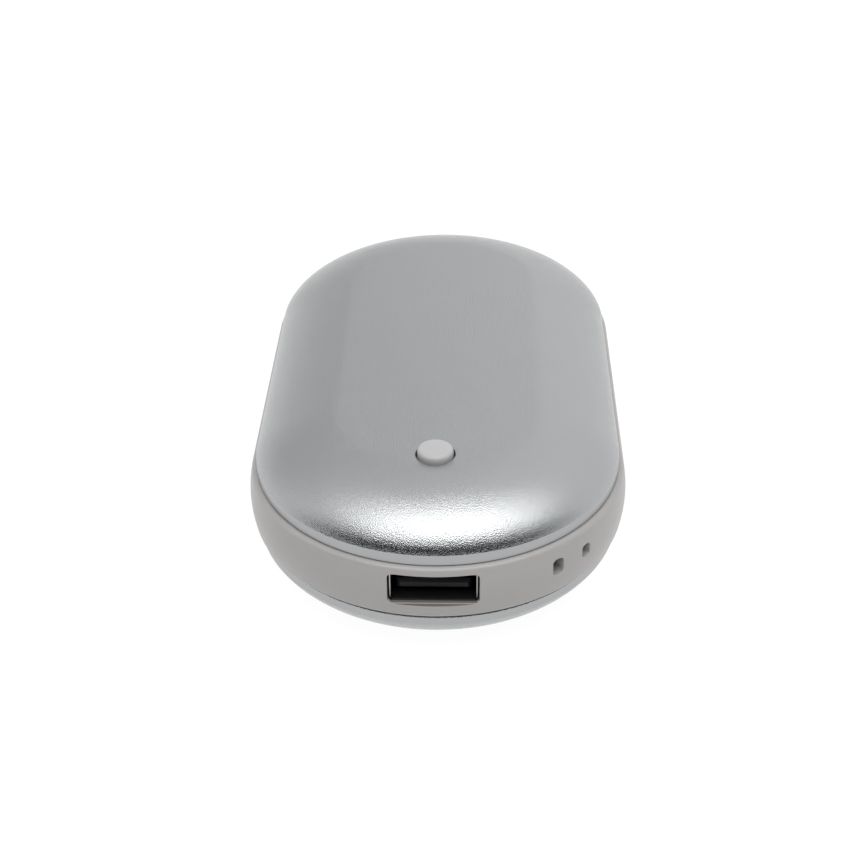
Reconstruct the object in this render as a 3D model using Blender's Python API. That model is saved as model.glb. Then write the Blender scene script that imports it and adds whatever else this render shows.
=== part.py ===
"""Rechargeable hand warmer: two drawn aluminium shells on a white plastic ring.

Metres, +Z up. The origin is on the resting face, under the middle of the body. The long axis is Y, and
the end with the wide port looks along -Y. Pairs that mirror across the mid-plane share one function, whose
side is +1 for the upper piece and -1 for the lower one, and whose heights count from the mid-plane.
"""
import math

import bmesh
import bpy
from mathutils import Matrix, Vector

# Overall body
BODY_LENGTH = 0.103
BODY_WIDTH = 0.060
BODY_HEIGHT = 0.026
END_STEPS = 20

# Ring around the middle
RING_HEIGHT = 0.0090
RING_WALL = 0.0022
RING_CROWN = 0.0004
RING_SHOULDER = 0.0009
CROWN_STEPS = 3
SHOULDER_STEPS = 3

# Aluminium shells
SHELL_WALL = 0.0008
SHELL_LIP = 0.0019
SHELL_RUN = 0.0132
CURVE_POWER = 1.75
CURVE_STEPS = 6

# Clearances
GAP = 0.0003
OVERRUN = 0.002

# Inner covers
COVER_WALL = 0.0012
COVER_SKIRT = 0.0009
FILM_THICKNESS = 0.0003
PAD_THICKNESS = 0.0010

# Cell and what holds it
CELL_FRONT_SETBACK = 0.025
CELL_SIDE_GAP = 0.0058
CELL_PAD_THICKNESS = 0.0022
CELL_CORNER_GAP = 0.00225
CELL_ROUNDING = 0.0018
CELL_PAD_MARGIN = 0.0025
PROTECTION_HEIGHT = 0.004
PROTECTION_THICKNESS = 0.001
TAB_WIDTH = 0.004
TAB_LENGTH = 0.0009
TAB_THICKNESS = 0.0004
TAB_SPACING = 0.020

# Wide port at the front, and the lanyard slots beside it
PORT_RISE = 0.0007
PORT_MARGIN = 0.0002
PORT_HEIGHT = 0.0050
PORT_CORNER = 0.0006
PORT_WALL = 0.0014
SOCKET_WIDTH = 0.0131
SOCKET_HEIGHT = 0.00572
SOCKET_LENGTH = 0.0132
SOCKET_WALL = 0.0003
TONGUE_SIDE_GAP = 0.0007
TONGUE_THICKNESS = 0.00184
TONGUE_DROP = 0.00097
TONGUE_RECESS = 0.0015
TONGUE_BASE_LENGTH = 0.0030
TONGUE_CHAMFER = 0.0003
CONTACT_WIDTH = 0.0010
CONTACT_LENGTH = 0.0070
CONTACT_THICKNESS = 0.0003
CONTACT_PITCH = 0.0023
CONTACT_COUNT = 4
SLOT_WIDTH = 0.0020
SLOT_HEIGHT = 0.0028
SLOT_CORNER = 0.0007
SLOT_ARC = 0.0199
SLOT_PITCH = 0.0060
TUNNEL_DEPTH = 0.0022
TUNNEL_WALL = 0.0010
TUNNEL_STEPS = 6

# Charging inlet at the rear
INLET_WIDTH = 0.0075
INLET_HEIGHT = 0.0025
INLET_LENGTH = 0.0050
INLET_WALL = 0.0003
INLET_HOLE_MARGIN = 0.0003
INLET_RIM = 0.0012
INLET_TONGUE_WIDTH = 0.0037
INLET_TONGUE_THICKNESS = 0.0006
INLET_TONGUE_RECESS = 0.0008
INLET_BASE_LENGTH = 0.0010
CHARGE_BOARD_WIDTH = 0.015
CHARGE_BOARD_REAR_SETBACK = 0.0039
CHARGE_BOARD_LENGTH = 0.0075
CHARGE_SCREW_SPACING = 0.0108
CHARGE_SCREW_INSET = 0.0020

# Push button
BUTTON_SETBACK = 0.018
BUTTON_HOLE = 0.0062
BUTTON_DIAMETER = 0.0055
BUTTON_PROUD = 0.0010
BUTTON_EDGE = 0.0004
BUTTON_FLANGE = 0.0078
BUTTON_FLANGE_THICKNESS = 0.0008
BUTTON_STEM = 0.0030
BUTTON_TRAVEL = 0.0004
BUTTON_TUBE_WALL = 0.0009
ROUND_STEPS = 20
SMALL_ROUND_STEPS = 12

# Main board and what is on it
BOARD_SIDE = 0.00745
BOARD_REAR_SETBACK = 0.0219
BOARD_THICKNESS = 0.0010
BOARD_EDGE_GAP = 0.0005
BOARD_ARC_STEPS = 10
SWITCH_SIZE = 0.0045
SWITCH_HEIGHT = 0.0038
SWITCH_FLOOR = 0.0006
PLUNGER_DIAMETER = 0.0024
PLUNGER_PROUD = 0.0008
DOME_DIAMETER = 0.0022
DOME_THICKNESS = 0.0003
DOME_CROWN = 0.0003
LED_SIZE = (0.0016, 0.0010, 0.0006)
LED_OFFSET = 0.0038
INDUCTOR_SIZE = (0.0060, 0.0060, 0.0030)
INDUCTOR_CORNER = 0.0008
POWER_CHIP_SIZE = (0.0040, 0.0040, 0.0009)
CONTROL_CHIP_SIZE = (0.0049, 0.0039, 0.0014)
TRANSISTOR_SIZE = (0.0026, 0.0016, 0.0011)
CAPACITOR_SIZE = (0.0016, 0.0032, 0.0012)
RESISTOR_SIZE = (0.0016, 0.0008, 0.0005)
INDUCTOR_ROW = 0.0122
POWER_CHIP_ROW = 0.0122
CONTROL_CHIP_ROW = 0.0075
TRANSISTOR_ROW = 0.0054
RESISTOR_ROW = 0.0076
CAPACITOR_GAP = 0.0008
SMALL_PITCH = 0.0024

# Screws and their posts
POST_DIAMETER = 0.0056
POST_BORE = 0.0024
HEAD_POCKET = 0.0042
HEAD_POCKET_DEPTH = 0.0030
FRONT_POST_GAP = 0.0007
FRONT_POST_SETBACK = 0.019
REAR_POST_SPREAD = 0.023
REAR_POST_SETBACK = 0.0121
SCREW_HEAD = 0.0034
SCREW_HEAD_HEIGHT = 0.0012
SCREW_SHANK = 0.0018
SCREW_BITE = 0.0045
BOSS_DIAMETER = 0.0040
BOSS_BORE = 0.0022
BOSS_BORE_DEPTH = 0.0035
BOARD_SCREW_HEAD = 0.0030
BOARD_SCREW_HEAD_HEIGHT = 0.0009
BOARD_SCREW_SHANK = 0.0016
BOARD_SCREW_BITE = 0.0028
BOARD_SCREW_INSET = 0.0024

# Wires and sensors
WIRE_DIAMETER = 0.0010
WIRE_PITCH = 0.0018
WIRE_SIDES = 1
WIRE_POINTS = 8
CHARGE_WIRE_POINTS = 40
CELL_LEAD_INSET = 0.0016
LEAD_BOW = 0.0008
LEAD_WINDOW = (0.0042, 0.0022)
LEAD_OFFSET = 0.00045
LEAD_SETBACK = 0.0211
CELL_LEAD_COLUMN = 0.0042
SENSOR_SIZE = (0.0022, 0.0016, 0.0008)
SENSOR_MARGIN = 0.0006
FUSE_SIZE = (0.0046, 0.0024, 0.0009)

# Values worked out from the above
HALF_LENGTH = BODY_LENGTH / 2
HALF_WIDTH = BODY_WIDTH / 2
MID_Z = BODY_HEIGHT / 2
END_CENTRE = HALF_LENGTH - HALF_WIDTH
RING_HALF = RING_HEIGHT / 2
LEDGE = RING_CROWN + RING_SHOULDER
CREASE = RING_HALF + SHELL_LIP
SHELL_TOP = BODY_HEIGHT / 2
FILM_TOP = SHELL_TOP - SHELL_WALL - GAP
PAD_TOP = FILM_TOP - FILM_THICKNESS - GAP
COVER_TOP = PAD_TOP - PAD_THICKNESS - GAP
COVER_UNDER = COVER_TOP - COVER_WALL
COVER_EDGE = RING_WALL + GAP
SKIRT_END = RING_HALF - COVER_SKIRT
FLAT_INSET = LEDGE + SHELL_RUN
CELL_WIDTH = BODY_WIDTH - 2 * RING_WALL - 2 * CELL_SIDE_GAP
CELL_TOP = COVER_UNDER - CELL_PAD_THICKNESS - 2 * GAP
CELL_FRONT_Y = CELL_FRONT_SETBACK - HALF_LENGTH
CELL_REAR_Y = END_CENTRE + math.sqrt((HALF_WIDTH - RING_WALL - CELL_CORNER_GAP) ** 2 - (CELL_WIDTH / 2) ** 2)
CELL_LENGTH = CELL_REAR_Y - CELL_FRONT_Y
CELL_MIDDLE_Y = (CELL_REAR_Y + CELL_FRONT_Y) / 2
PROTECTION_FRONT_Y = CELL_FRONT_Y - 2 * GAP - TAB_LENGTH - PROTECTION_THICKNESS
PORT_Z = MID_Z + PORT_RISE
PORT_WIDTH = SOCKET_WIDTH + 2 * PORT_MARGIN
TONGUE_WIDTH = SOCKET_WIDTH - 2 * SOCKET_WALL - 2 * TONGUE_SIDE_GAP
SOCKET_FRONT_Y = PORT_WALL + GAP - HALF_LENGTH
SOCKET_REAR_Y = SOCKET_FRONT_Y + SOCKET_LENGTH
SOCKET_CUT_START = HALF_LENGTH - RING_WALL - OVERRUN
BOARD_WIDTH = SOCKET_WIDTH + 2 * BOARD_SIDE
PART_COLUMN = (SOCKET_WIDTH + BOARD_SIDE) / 2
FRONT_POST_X = (BOARD_WIDTH + POST_DIAMETER) / 2 + FRONT_POST_GAP
BOARD_TOP_Z = PORT_Z - SOCKET_HEIGHT / 2 - GAP
BOARD_REAR_Y = BOARD_REAR_SETBACK - HALF_LENGTH
ON_BOARD_Z = BOARD_TOP_Z + GAP
INLET_REAR_Y = HALF_LENGTH - INLET_RIM - GAP
CHARGE_TOP_Z = PORT_Z - INLET_HEIGHT / 2 - GAP
CHARGE_REAR_Y = HALF_LENGTH - CHARGE_BOARD_REAR_SETBACK
CHARGE_FRONT_Y = CHARGE_REAR_Y - CHARGE_BOARD_LENGTH
BUTTON_Y = BUTTON_SETBACK - HALF_LENGTH
COVER_FLOOR_Z = MID_Z - COVER_UNDER
FRONT_POSTS = [(side * FRONT_POST_X, FRONT_POST_SETBACK - HALF_LENGTH) for side in (-1, 1)]
REAR_POSTS = [(side * REAR_POST_SPREAD / 2, HALF_LENGTH - REAR_POST_SETBACK) for side in (-1, 1)]
POSTS = FRONT_POSTS + REAR_POSTS
BOARD_SCREWS = [(side * PART_COLUMN, BOARD_REAR_Y - BOARD_SCREW_INSET) for side in (-1, 1)]
CHARGE_SCREWS = [(side * CHARGE_SCREW_SPACING / 2, CHARGE_FRONT_Y + CHARGE_SCREW_INSET) for side in (-1, 1)]
LEAD_COLUMN = SOCKET_WIDTH / 2 + LEAD_OFFSET
LEAD_Y = LEAD_SETBACK - HALF_LENGTH

# Finishes: colour, metallic, roughness
FINISHES = {
    "blasted_aluminium": ((0.62, 0.63, 0.64), 1.0, 0.38),
    "white_plastic": ((0.80, 0.79, 0.78), 0.0, 0.45),
    "button_plastic": ((0.88, 0.88, 0.88), 0.0, 0.35),
    "carrier_plastic": ((0.70, 0.70, 0.68), 0.0, 0.55),
    "black_plastic": ((0.02, 0.02, 0.022), 0.0, 0.45),
    "steel": ((0.60, 0.60, 0.60), 1.0, 0.30),
    "contact_gold": ((0.80, 0.60, 0.25), 1.0, 0.30),
    "nickel": ((0.66, 0.64, 0.60), 1.0, 0.35),
    "circuit_green": ((0.02, 0.20, 0.08), 0.0, 0.50),
    "heater_amber": ((0.55, 0.28, 0.04), 0.0, 0.40),
    "foam_grey": ((0.14, 0.14, 0.15), 0.0, 0.95),
    "cell_foil": ((0.55, 0.56, 0.58), 1.0, 0.45),
    "ferrite": ((0.06, 0.06, 0.065), 0.0, 0.60),
    "chip_black": ((0.03, 0.03, 0.03), 0.0, 0.60),
    "ceramic_tan": ((0.45, 0.32, 0.20), 0.0, 0.50),
    "led_lens": ((0.90, 0.88, 0.70), 0.0, 0.20),
    "wire_red": ((0.60, 0.03, 0.02), 0.0, 0.45),
    "wire_black": ((0.02, 0.02, 0.02), 0.0, 0.45),
}


def clear_scene():
    for old in list(bpy.data.objects):
        bpy.data.objects.remove(old, do_unlink=True)


def material(name):
    found = bpy.data.materials.get(name)
    if found:
        return found
    made = bpy.data.materials.new(name)
    made.use_nodes = True
    colour, metallic, roughness = FINISHES[name]
    shader = made.node_tree.nodes["Principled BSDF"]
    shader.inputs["Base Color"].default_value = (*colour, 1.0)
    shader.inputs["Metallic"].default_value = metallic
    shader.inputs["Roughness"].default_value = roughness
    made.diffuse_color = (*colour, 1.0)
    return made


def finish_object(name, bm, finish, smooth_angle=math.radians(30)):
    """Turn a bmesh into a named object with its finish."""
    bmesh.ops.recalc_face_normals(bm, faces=bm.faces)
    mesh = bpy.data.meshes.new(name)
    bm.to_mesh(mesh)
    bm.free()
    mesh.shade_smooth()
    mesh.set_sharp_from_angle(angle=smooth_angle)
    made = bpy.data.objects.new(name, mesh)
    bpy.context.collection.objects.link(made)
    made.data.materials.append(material(finish))
    return made


def as_tool(made):
    """Mark an object as a cutter or a guide, which isn't a piece."""
    made.hide_render = True
    made.display_type = "WIRE"
    return made


def combine(made, tool, operation):
    step = made.modifiers.new(tool.name, "BOOLEAN")
    step.operation = operation
    step.solver = "EXACT"
    step.object = as_tool(tool)


def cut(made, tool):
    combine(made, tool, "DIFFERENCE")


def join(made, tool):
    combine(made, tool, "UNION")


def stadium(inset):
    """Outline of the body drawn in by inset, counter-clockwise."""
    radius = HALF_WIDTH - inset
    points = []
    for end in (1, -1):
        for step in range(END_STEPS + 1):
            angle = math.pi * step / END_STEPS
            x = end * radius * math.cos(angle)
            y = end * (END_CENTRE + radius * math.sin(angle))
            points.append((x, y))
    return points


def circle(radius, steps):
    angles = [math.tau * step / steps for step in range(steps)]
    return [(radius * math.cos(angle), radius * math.sin(angle)) for angle in angles]


def rounded_rectangle(width, height, corner, steps=3):
    """Outline of a rectangle with round corners, counter-clockwise."""
    points = []
    for quarter, (sx, sy) in enumerate(((1, 1), (-1, 1), (-1, -1), (1, -1))):
        centre_x = sx * (width / 2 - corner)
        centre_y = sy * (height / 2 - corner)
        for step in range(steps + 1):
            angle = math.pi / 2 * (quarter + step / steps)
            points.append((centre_x + corner * math.cos(angle), centre_y + corner * math.sin(angle)))
    return points


def rectangle(width, height):
    x = width / 2
    y = height / 2
    return [(x, y), (-x, y), (-x, -y), (x, -y)]


def stack(name, finish, levels, ring=False):
    """Skin outlines of equal count at their heights, closed at both ends or into a ring."""
    bm = bmesh.new()
    rows = [[bm.verts.new((x, y, z)) for x, y in outline] for outline, z in levels]
    pairs = list(zip(rows, rows[1:]))
    if ring:
        pairs.append((rows[-1], rows[0]))
    for low, high in pairs:
        for here, there in zip(range(len(low)), [*range(1, len(low)), 0]):
            bm.faces.new((low[here], low[there], high[there], high[here]))
    if not ring:
        bm.faces.new(rows[0])
        bm.faces.new(rows[-1])
    return finish_object(name, bm, finish)


def disc(name, finish, place, low_z, high_z, diameter, steps=SMALL_ROUND_STEPS):
    outline = circle(diameter / 2, steps)
    made = stack(name, finish, [(outline, low_z), (outline, high_z)])
    made.location.xy = place
    return made


def block(name, finish, centre, size, rounding=0):
    """A box, with its edges rounded where rounding is given."""
    bm = bmesh.new()
    bmesh.ops.create_cube(bm, size=1)
    bmesh.ops.scale(bm, vec=size, verts=bm.verts)
    made = finish_object(name, bm, finish)
    made.location = centre
    if rounding:
        edge = made.modifiers.new("rounding", "BEVEL")
        edge.width = rounding
        edge.segments = 2
    return made


def bar(name, finish, outline, start, end, origin=(0, 0, PORT_Z), turn=0):
    """Push an upright outline outwards: turn 0 points to the front, half a turn to the rear."""
    made = stack(name, finish, [(outline, start), (outline, end)])
    made.location = origin
    made.rotation_euler = (math.pi / 2, 0, turn)
    return made


def sector(name, finish, inner, outer, start_angle, end_angle, low_z, high_z):
    """A curved block round the front end's centre, angles counted from the front towards +X."""
    turn = (end_angle - start_angle) / TUNNEL_STEPS
    angles = [start_angle + turn * step for step in range(TUNNEL_STEPS + 1)]
    around = [(outer, angle) for angle in angles] + [(inner, angle) for angle in reversed(angles)]
    outline = [(reach * math.sin(angle), -END_CENTRE - reach * math.cos(angle)) for reach, angle in around]
    return stack(name, finish, [(outline, low_z), (outline, high_z)])


def blocks(name, finish, centres, size):
    """Equal small boxes, numbered from one."""
    for number, centre in enumerate(centres, 1):
        block(f"{name}_{number}", finish, centre, size)


def curve_inset(height, start_inset, rise):
    """How far a soft edge that starts at start_inset has drawn in at a height above the crease."""
    share = max(height - CREASE, 0) / rise
    run = FLAT_INSET - start_inset
    return start_inset + run * (1 - (1 - share**CURVE_POWER) ** (1 / CURVE_POWER))


def curve_rows(start_inset, rise):
    """Soft edge from the crease to the flat, as (inset, height) in even turns."""
    rows = []
    for step in range(CURVE_STEPS + 1):
        angle = math.pi / 2 * step / CURVE_STEPS
        drawn = 1 - math.cos(angle) ** (2 / CURVE_POWER)
        raised = math.sin(angle) ** (2 / CURVE_POWER)
        rows.append((start_inset + (FLAT_INSET - start_inset) * drawn, CREASE + rise * raised))
    return rows


def mirror_levels(rows, side):
    """Turn (inset, height) rows into stadium outlines above or below the mid-plane."""
    return [(stadium(inset), MID_Z + side * height) for inset, height in rows]


def shell(name, side):
    """Drawn aluminium cup: upright lip, crease, soft edge and flat face."""
    outer = [(LEDGE, RING_HALF + GAP)] + curve_rows(LEDGE, SHELL_TOP - CREASE)
    inside = LEDGE + SHELL_WALL
    inner = [(inside, RING_HALF + GAP)] + curve_rows(inside, SHELL_TOP - SHELL_WALL - CREASE)
    made = stack(name, "blasted_aluminium", mirror_levels(outer[::-1] + inner, side))
    if side > 0:
        cut(made, disc("shell_hole", "steel", (0, BUTTON_Y), SHELL_TOP, BODY_HEIGHT + OVERRUN,
                       BUTTON_HOLE, ROUND_STEPS))
    return made


def ring_rows():
    """Section of the ring as (inset, height): crowned outside, with round shoulders."""
    shoulder_start = RING_HALF - RING_SHOULDER
    outer = []
    for step in range(CROWN_STEPS + 1):
        share = step / CROWN_STEPS
        outer.append((RING_CROWN * share**2, shoulder_start * share))
    for step in range(1, SHOULDER_STEPS + 1):
        angle = math.pi / 2 * step / SHOULDER_STEPS
        inset = RING_CROWN + RING_SHOULDER * (1 - math.cos(angle))
        outer.append((inset, shoulder_start + RING_SHOULDER * math.sin(angle)))
    lower = [(inset, -height) for inset, height in reversed(outer[1:])]
    return lower + outer + [(RING_WALL, RING_HALF), (RING_WALL, -RING_HALF)]


def cut_port(frame):
    """Port hole through the front wall, and a flat pocket behind it for the socket's mouth."""
    mouth = rounded_rectangle(PORT_WIDTH, PORT_HEIGHT, PORT_CORNER)
    cut(frame, bar("port_hole", "steel", mouth, SOCKET_CUT_START, HALF_LENGTH + OVERRUN))
    pocket = rectangle(SOCKET_WIDTH + 2 * GAP, SOCKET_HEIGHT + 2 * GAP)
    cut(frame, bar("port_pocket", "steel", pocket, SOCKET_CUT_START, HALF_LENGTH - PORT_WALL))


def cut_inlet(frame):
    """Charging hole through the rear wall, a little larger than the socket behind it."""
    start = HALF_LENGTH - RING_WALL - OVERRUN
    mouth = rounded_rectangle(INLET_WIDTH + 2 * INLET_HOLE_MARGIN, INLET_HEIGHT + 2 * INLET_HOLE_MARGIN,
                              INLET_HEIGHT / 4)
    cut(frame, bar("inlet_hole", "steel", mouth, start, HALF_LENGTH + OVERRUN, turn=math.pi))


def add_tunnel(frame):
    """Lanyard tunnel: two slots in the wall that meet behind the bridge between them."""
    first = SLOT_ARC / HALF_WIDTH
    last = first + SLOT_PITCH / HALF_WIDTH
    half = SLOT_WIDTH / 2 / HALF_WIDTH
    rim = TUNNEL_WALL / HALF_WIDTH
    wall_inside = HALF_WIDTH - RING_WALL
    depth = wall_inside - TUNNEL_DEPTH
    low_z = PORT_Z - SLOT_HEIGHT / 2
    high_z = PORT_Z + SLOT_HEIGHT / 2
    join(frame, sector("tunnel_housing", "steel", depth - TUNNEL_WALL, wall_inside + RING_WALL / 2,
                       first - half - rim, last + half + rim, low_z - TUNNEL_WALL, high_z + TUNNEL_WALL))
    cut(frame, sector("tunnel_space", "steel", depth, wall_inside, first - half, last + half, low_z, high_z))
    slot = rounded_rectangle(SLOT_WIDTH, SLOT_HEIGHT, SLOT_CORNER)
    for number, angle in enumerate((first, last)):
        cut(frame, bar(f"slot_{number}", "steel", slot, depth + TUNNEL_DEPTH / 2, HALF_WIDTH + OVERRUN,
                       origin=(0, -END_CENTRE, PORT_Z), turn=angle))


def mid_frame():
    made = stack("mid_frame", "white_plastic", mirror_levels(ring_rows(), 1), ring=True)
    add_tunnel(made)
    cut_port(made)
    cut_inlet(made)
    return made


def cover_rows():
    """Section of a cover as (inset, height): flat plate, sloping wall and upright skirt."""
    rise = SHELL_TOP - SHELL_WALL - GAP - CREASE
    heights = [COVER_TOP, COVER_UNDER, (COVER_UNDER + CREASE) / 2]
    outer = [(curve_inset(height, COVER_EDGE, rise), height) for height in heights]
    outer += [(COVER_EDGE, CREASE), (COVER_EDGE, SKIRT_END)]
    inner = [(inset + COVER_WALL, height) for inset, height in outer[1:]]
    return outer + inner[::-1]


def height_span(side, near, far):
    """Lowest and highest Z of a stretch between two heights from the mid-plane."""
    ends = sorted((MID_Z + side * near, MID_Z + side * far))
    return ends[0], ends[1]


def add_posts(cover, side):
    """Screw posts: the lower ones pass the screws, the upper ones take their threads."""
    for number, place in enumerate(POSTS):
        low, high = height_span(side, GAP / 2, COVER_UNDER + COVER_WALL / 2)
        join(cover, disc(f"{cover.name}_post_{number}", "steel", place, low, high, POST_DIAMETER))
    bore_end = SCREW_BITE if side > 0 else COVER_TOP + OVERRUN
    for number, place in enumerate(POSTS):
        low, high = height_span(side, -OVERRUN, bore_end)
        cut(cover, disc(f"{cover.name}_bore_{number}", "steel", place, low, high, POST_BORE))
        if side < 0:
            low, high = height_span(side, COVER_TOP - HEAD_POCKET_DEPTH, COVER_TOP + OVERRUN)
            cut(cover, disc(f"{cover.name}_pocket_{number}", "steel", place, low, high, HEAD_POCKET))


def add_bosses(cover, word, places, top_z):
    """Short bosses that carry a circuit board and take its screws."""
    for number, place in enumerate(places):
        floor = COVER_FLOOR_Z - COVER_WALL / 2
        join(cover, disc(f"{word}_boss_{number}", "steel", place, floor, top_z, BOSS_DIAMETER))
        cut(cover, disc(f"{word}_bore_{number}", "steel", place, top_z - BOSS_BORE_DEPTH, top_z + OVERRUN,
                        BOSS_BORE))


def lead_window(made, side):
    """Opening that the heater leads pass through."""
    low, high = height_span(side, COVER_UNDER - OVERRUN, PAD_TOP + GAP / 2)
    middle = (side * LEAD_COLUMN, LEAD_Y, (low + high) / 2)
    cut(made, block(f"{made.name}_window", "steel", middle, (*LEAD_WINDOW, high - low)))


def cover(name, side):
    made = stack(name, "carrier_plastic", mirror_levels(cover_rows(), side))
    add_posts(made, side)
    if side > 0:
        tube = BUTTON_DIAMETER + 2 * GAP + 2 * BUTTON_TUBE_WALL
        low, high = height_span(side, COVER_UNDER + COVER_WALL / 2, FILM_TOP)
        join(made, disc("button_tube", "steel", (0, BUTTON_Y), low, high, tube, ROUND_STEPS))
        low, high = height_span(side, COVER_UNDER - OVERRUN, FILM_TOP + OVERRUN)
        cut(made, disc("button_bore", "steel", (0, BUTTON_Y), low, high, BUTTON_DIAMETER + 2 * GAP,
                       ROUND_STEPS))
    else:
        add_bosses(made, "main_board", BOARD_SCREWS, BOARD_TOP_Z - BOARD_THICKNESS - GAP)
        add_bosses(made, "charge_board", CHARGE_SCREWS, CHARGE_TOP_Z - BOARD_THICKNESS - GAP)
    lead_window(made, side)
    return made


def heater_layers(word, side, sensor_size):
    """Heater film against the shell, and the foam pad behind it with a window for its sensor."""
    layers = []
    for part, finish, top, thickness in (("heater_film", "heater_amber", FILM_TOP, FILM_THICKNESS),
                                         ("thermal_pad", "foam_grey", PAD_TOP, PAD_THICKNESS)):
        rows = [(FLAT_INSET, top), (FLAT_INSET, top - thickness)]
        made = stack(f"{word}_{part}", finish, mirror_levels(rows, side))
        if side > 0:
            hole = BUTTON_DIAMETER + 2 * BUTTON_TUBE_WALL + 4 * GAP
            low, high = height_span(side, COVER_TOP, FILM_TOP + OVERRUN)
            cut(made, disc(f"{part}_hole", "steel", (0, BUTTON_Y), low, high, hole, ROUND_STEPS))
        layers.append(made)
    pad = layers[-1]
    lead_window(pad, side)
    middle_z = MID_Z + side * (PAD_TOP - PAD_THICKNESS / 2)
    width, length, height = sensor_size
    opening = (width + 2 * SENSOR_MARGIN, length + 2 * SENSOR_MARGIN, PAD_THICKNESS + OVERRUN)
    cut(pad, block(f"{word}_sensor_window", "steel", (0, 0, middle_z), opening))
    return middle_z


def heater_parts():
    middle_z = heater_layers("top", 1, FUSE_SIZE)
    block("thermal_fuse", "ceramic_tan", (0, 0, middle_z), FUSE_SIZE, SENSOR_MARGIN / 4)
    middle_z = heater_layers("bottom", -1, SENSOR_SIZE)
    block("thermistor", "chip_black", (0, 0, middle_z), SENSOR_SIZE, SENSOR_MARGIN / 4)


def cell_parts():
    """Pouch cell, its foam pads, protection board and tabs."""
    middle = (0, CELL_MIDDLE_Y, MID_Z)
    block("battery_cell", "cell_foil", middle, (CELL_WIDTH, CELL_LENGTH, 2 * CELL_TOP), CELL_ROUNDING)
    size = (CELL_WIDTH - 2 * CELL_PAD_MARGIN, CELL_LENGTH - 2 * CELL_PAD_MARGIN, CELL_PAD_THICKNESS)
    for word, side in (("top", 1), ("bottom", -1)):
        height = CELL_TOP + GAP + CELL_PAD_THICKNESS / 2
        block(f"battery_pad_{word}", "foam_grey", (0, CELL_MIDDLE_Y, MID_Z + side * height), size)
    size = (BOARD_WIDTH, PROTECTION_THICKNESS, PROTECTION_HEIGHT)
    middle = (0, PROTECTION_FRONT_Y + PROTECTION_THICKNESS / 2, MID_Z)
    block("battery_protection_board", "circuit_green", middle, size)
    for word, side in (("positive", 1), ("negative", -1)):
        middle = (side * TAB_SPACING / 2, CELL_FRONT_Y - GAP - TAB_LENGTH / 2, MID_Z)
        block(f"battery_tab_{word}", "nickel", middle, (TAB_WIDTH, TAB_LENGTH, TAB_THICKNESS))


def port_socket():
    """Metal shell of the wide port, its tongue and the contacts on top of the tongue."""
    front = -SOCKET_FRONT_Y
    rear = -SOCKET_REAR_Y
    outline = rounded_rectangle(SOCKET_WIDTH, SOCKET_HEIGHT, PORT_CORNER)
    made = bar("usb_a_shell", "steel", outline, rear, front)
    inner_width = SOCKET_WIDTH - 2 * SOCKET_WALL
    inner_height = SOCKET_HEIGHT - 2 * SOCKET_WALL
    opening = rounded_rectangle(inner_width, inner_height, PORT_CORNER - SOCKET_WALL)
    cut(made, bar("usb_a_opening", "steel", opening, rear - OVERRUN, front + OVERRUN))
    base = block("usb_a_tongue", "black_plastic", (0, SOCKET_REAR_Y - TONGUE_BASE_LENGTH / 2, PORT_Z),
                 (inner_width - 2 * GAP, TONGUE_BASE_LENGTH, inner_height - 2 * GAP))
    tip_y = SOCKET_FRONT_Y + TONGUE_RECESS
    root_y = SOCKET_REAR_Y - TONGUE_BASE_LENGTH / 2
    tongue_z = PORT_Z - TONGUE_DROP
    join(base, block("tongue_blade", "steel", (0, (tip_y + root_y) / 2, tongue_z),
                     (TONGUE_WIDTH, root_y - tip_y, TONGUE_THICKNESS), TONGUE_CHAMFER))
    contact_z = tongue_z + TONGUE_THICKNESS / 2 + GAP + CONTACT_THICKNESS / 2
    contact_y = SOCKET_REAR_Y - TONGUE_BASE_LENGTH - GAP - CONTACT_LENGTH / 2
    places = [(number - (CONTACT_COUNT - 1) / 2) * CONTACT_PITCH for number in range(CONTACT_COUNT)]
    size = (CONTACT_WIDTH, CONTACT_LENGTH, CONTACT_THICKNESS)
    blocks("usb_a_contact", "contact_gold", [(x, contact_y, contact_z) for x in places], size)


def charge_inlet():
    """Small charging socket at the rear, on its own board."""
    outline = rounded_rectangle(INLET_WIDTH, INLET_HEIGHT, INLET_HEIGHT / 4)
    rear = INLET_REAR_Y
    front = rear - INLET_LENGTH
    made = bar("micro_usb_shell", "steel", outline, front, rear, turn=math.pi)
    inner_width = INLET_WIDTH - 2 * INLET_WALL
    inner_height = INLET_HEIGHT - 2 * INLET_WALL
    opening = rounded_rectangle(inner_width, inner_height, INLET_HEIGHT / 4 - INLET_WALL)
    cut(made, bar("inlet_opening", "steel", opening, front - OVERRUN, rear + OVERRUN, turn=math.pi))
    tongue = block("micro_usb_tongue", "black_plastic", (0, front + INLET_BASE_LENGTH / 2, PORT_Z),
                   (inner_width - 4 * GAP, INLET_BASE_LENGTH, inner_height - 2 * GAP))
    root_y = front + INLET_BASE_LENGTH / 2
    tip_y = rear - INLET_TONGUE_RECESS
    join(tongue, block("inlet_blade", "steel", (0, (root_y + tip_y) / 2, PORT_Z),
                       (INLET_TONGUE_WIDTH, tip_y - root_y, INLET_TONGUE_THICKNESS)))
    board = block("charge_board", "circuit_green",
                  (0, (CHARGE_FRONT_Y + CHARGE_REAR_Y) / 2, CHARGE_TOP_Z - BOARD_THICKNESS / 2),
                  (CHARGE_BOARD_WIDTH, CHARGE_BOARD_LENGTH, BOARD_THICKNESS))
    drill_board(board, CHARGE_SCREWS, CHARGE_TOP_Z)


def drill_board(board, places, top_z):
    for number, place in enumerate(places):
        cut(board, disc(f"{board.name}_hole_{number}", "steel", place, top_z - BOARD_THICKNESS - OVERRUN,
                        top_z + OVERRUN, BOARD_SCREW_SHANK + 2 * GAP))


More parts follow.
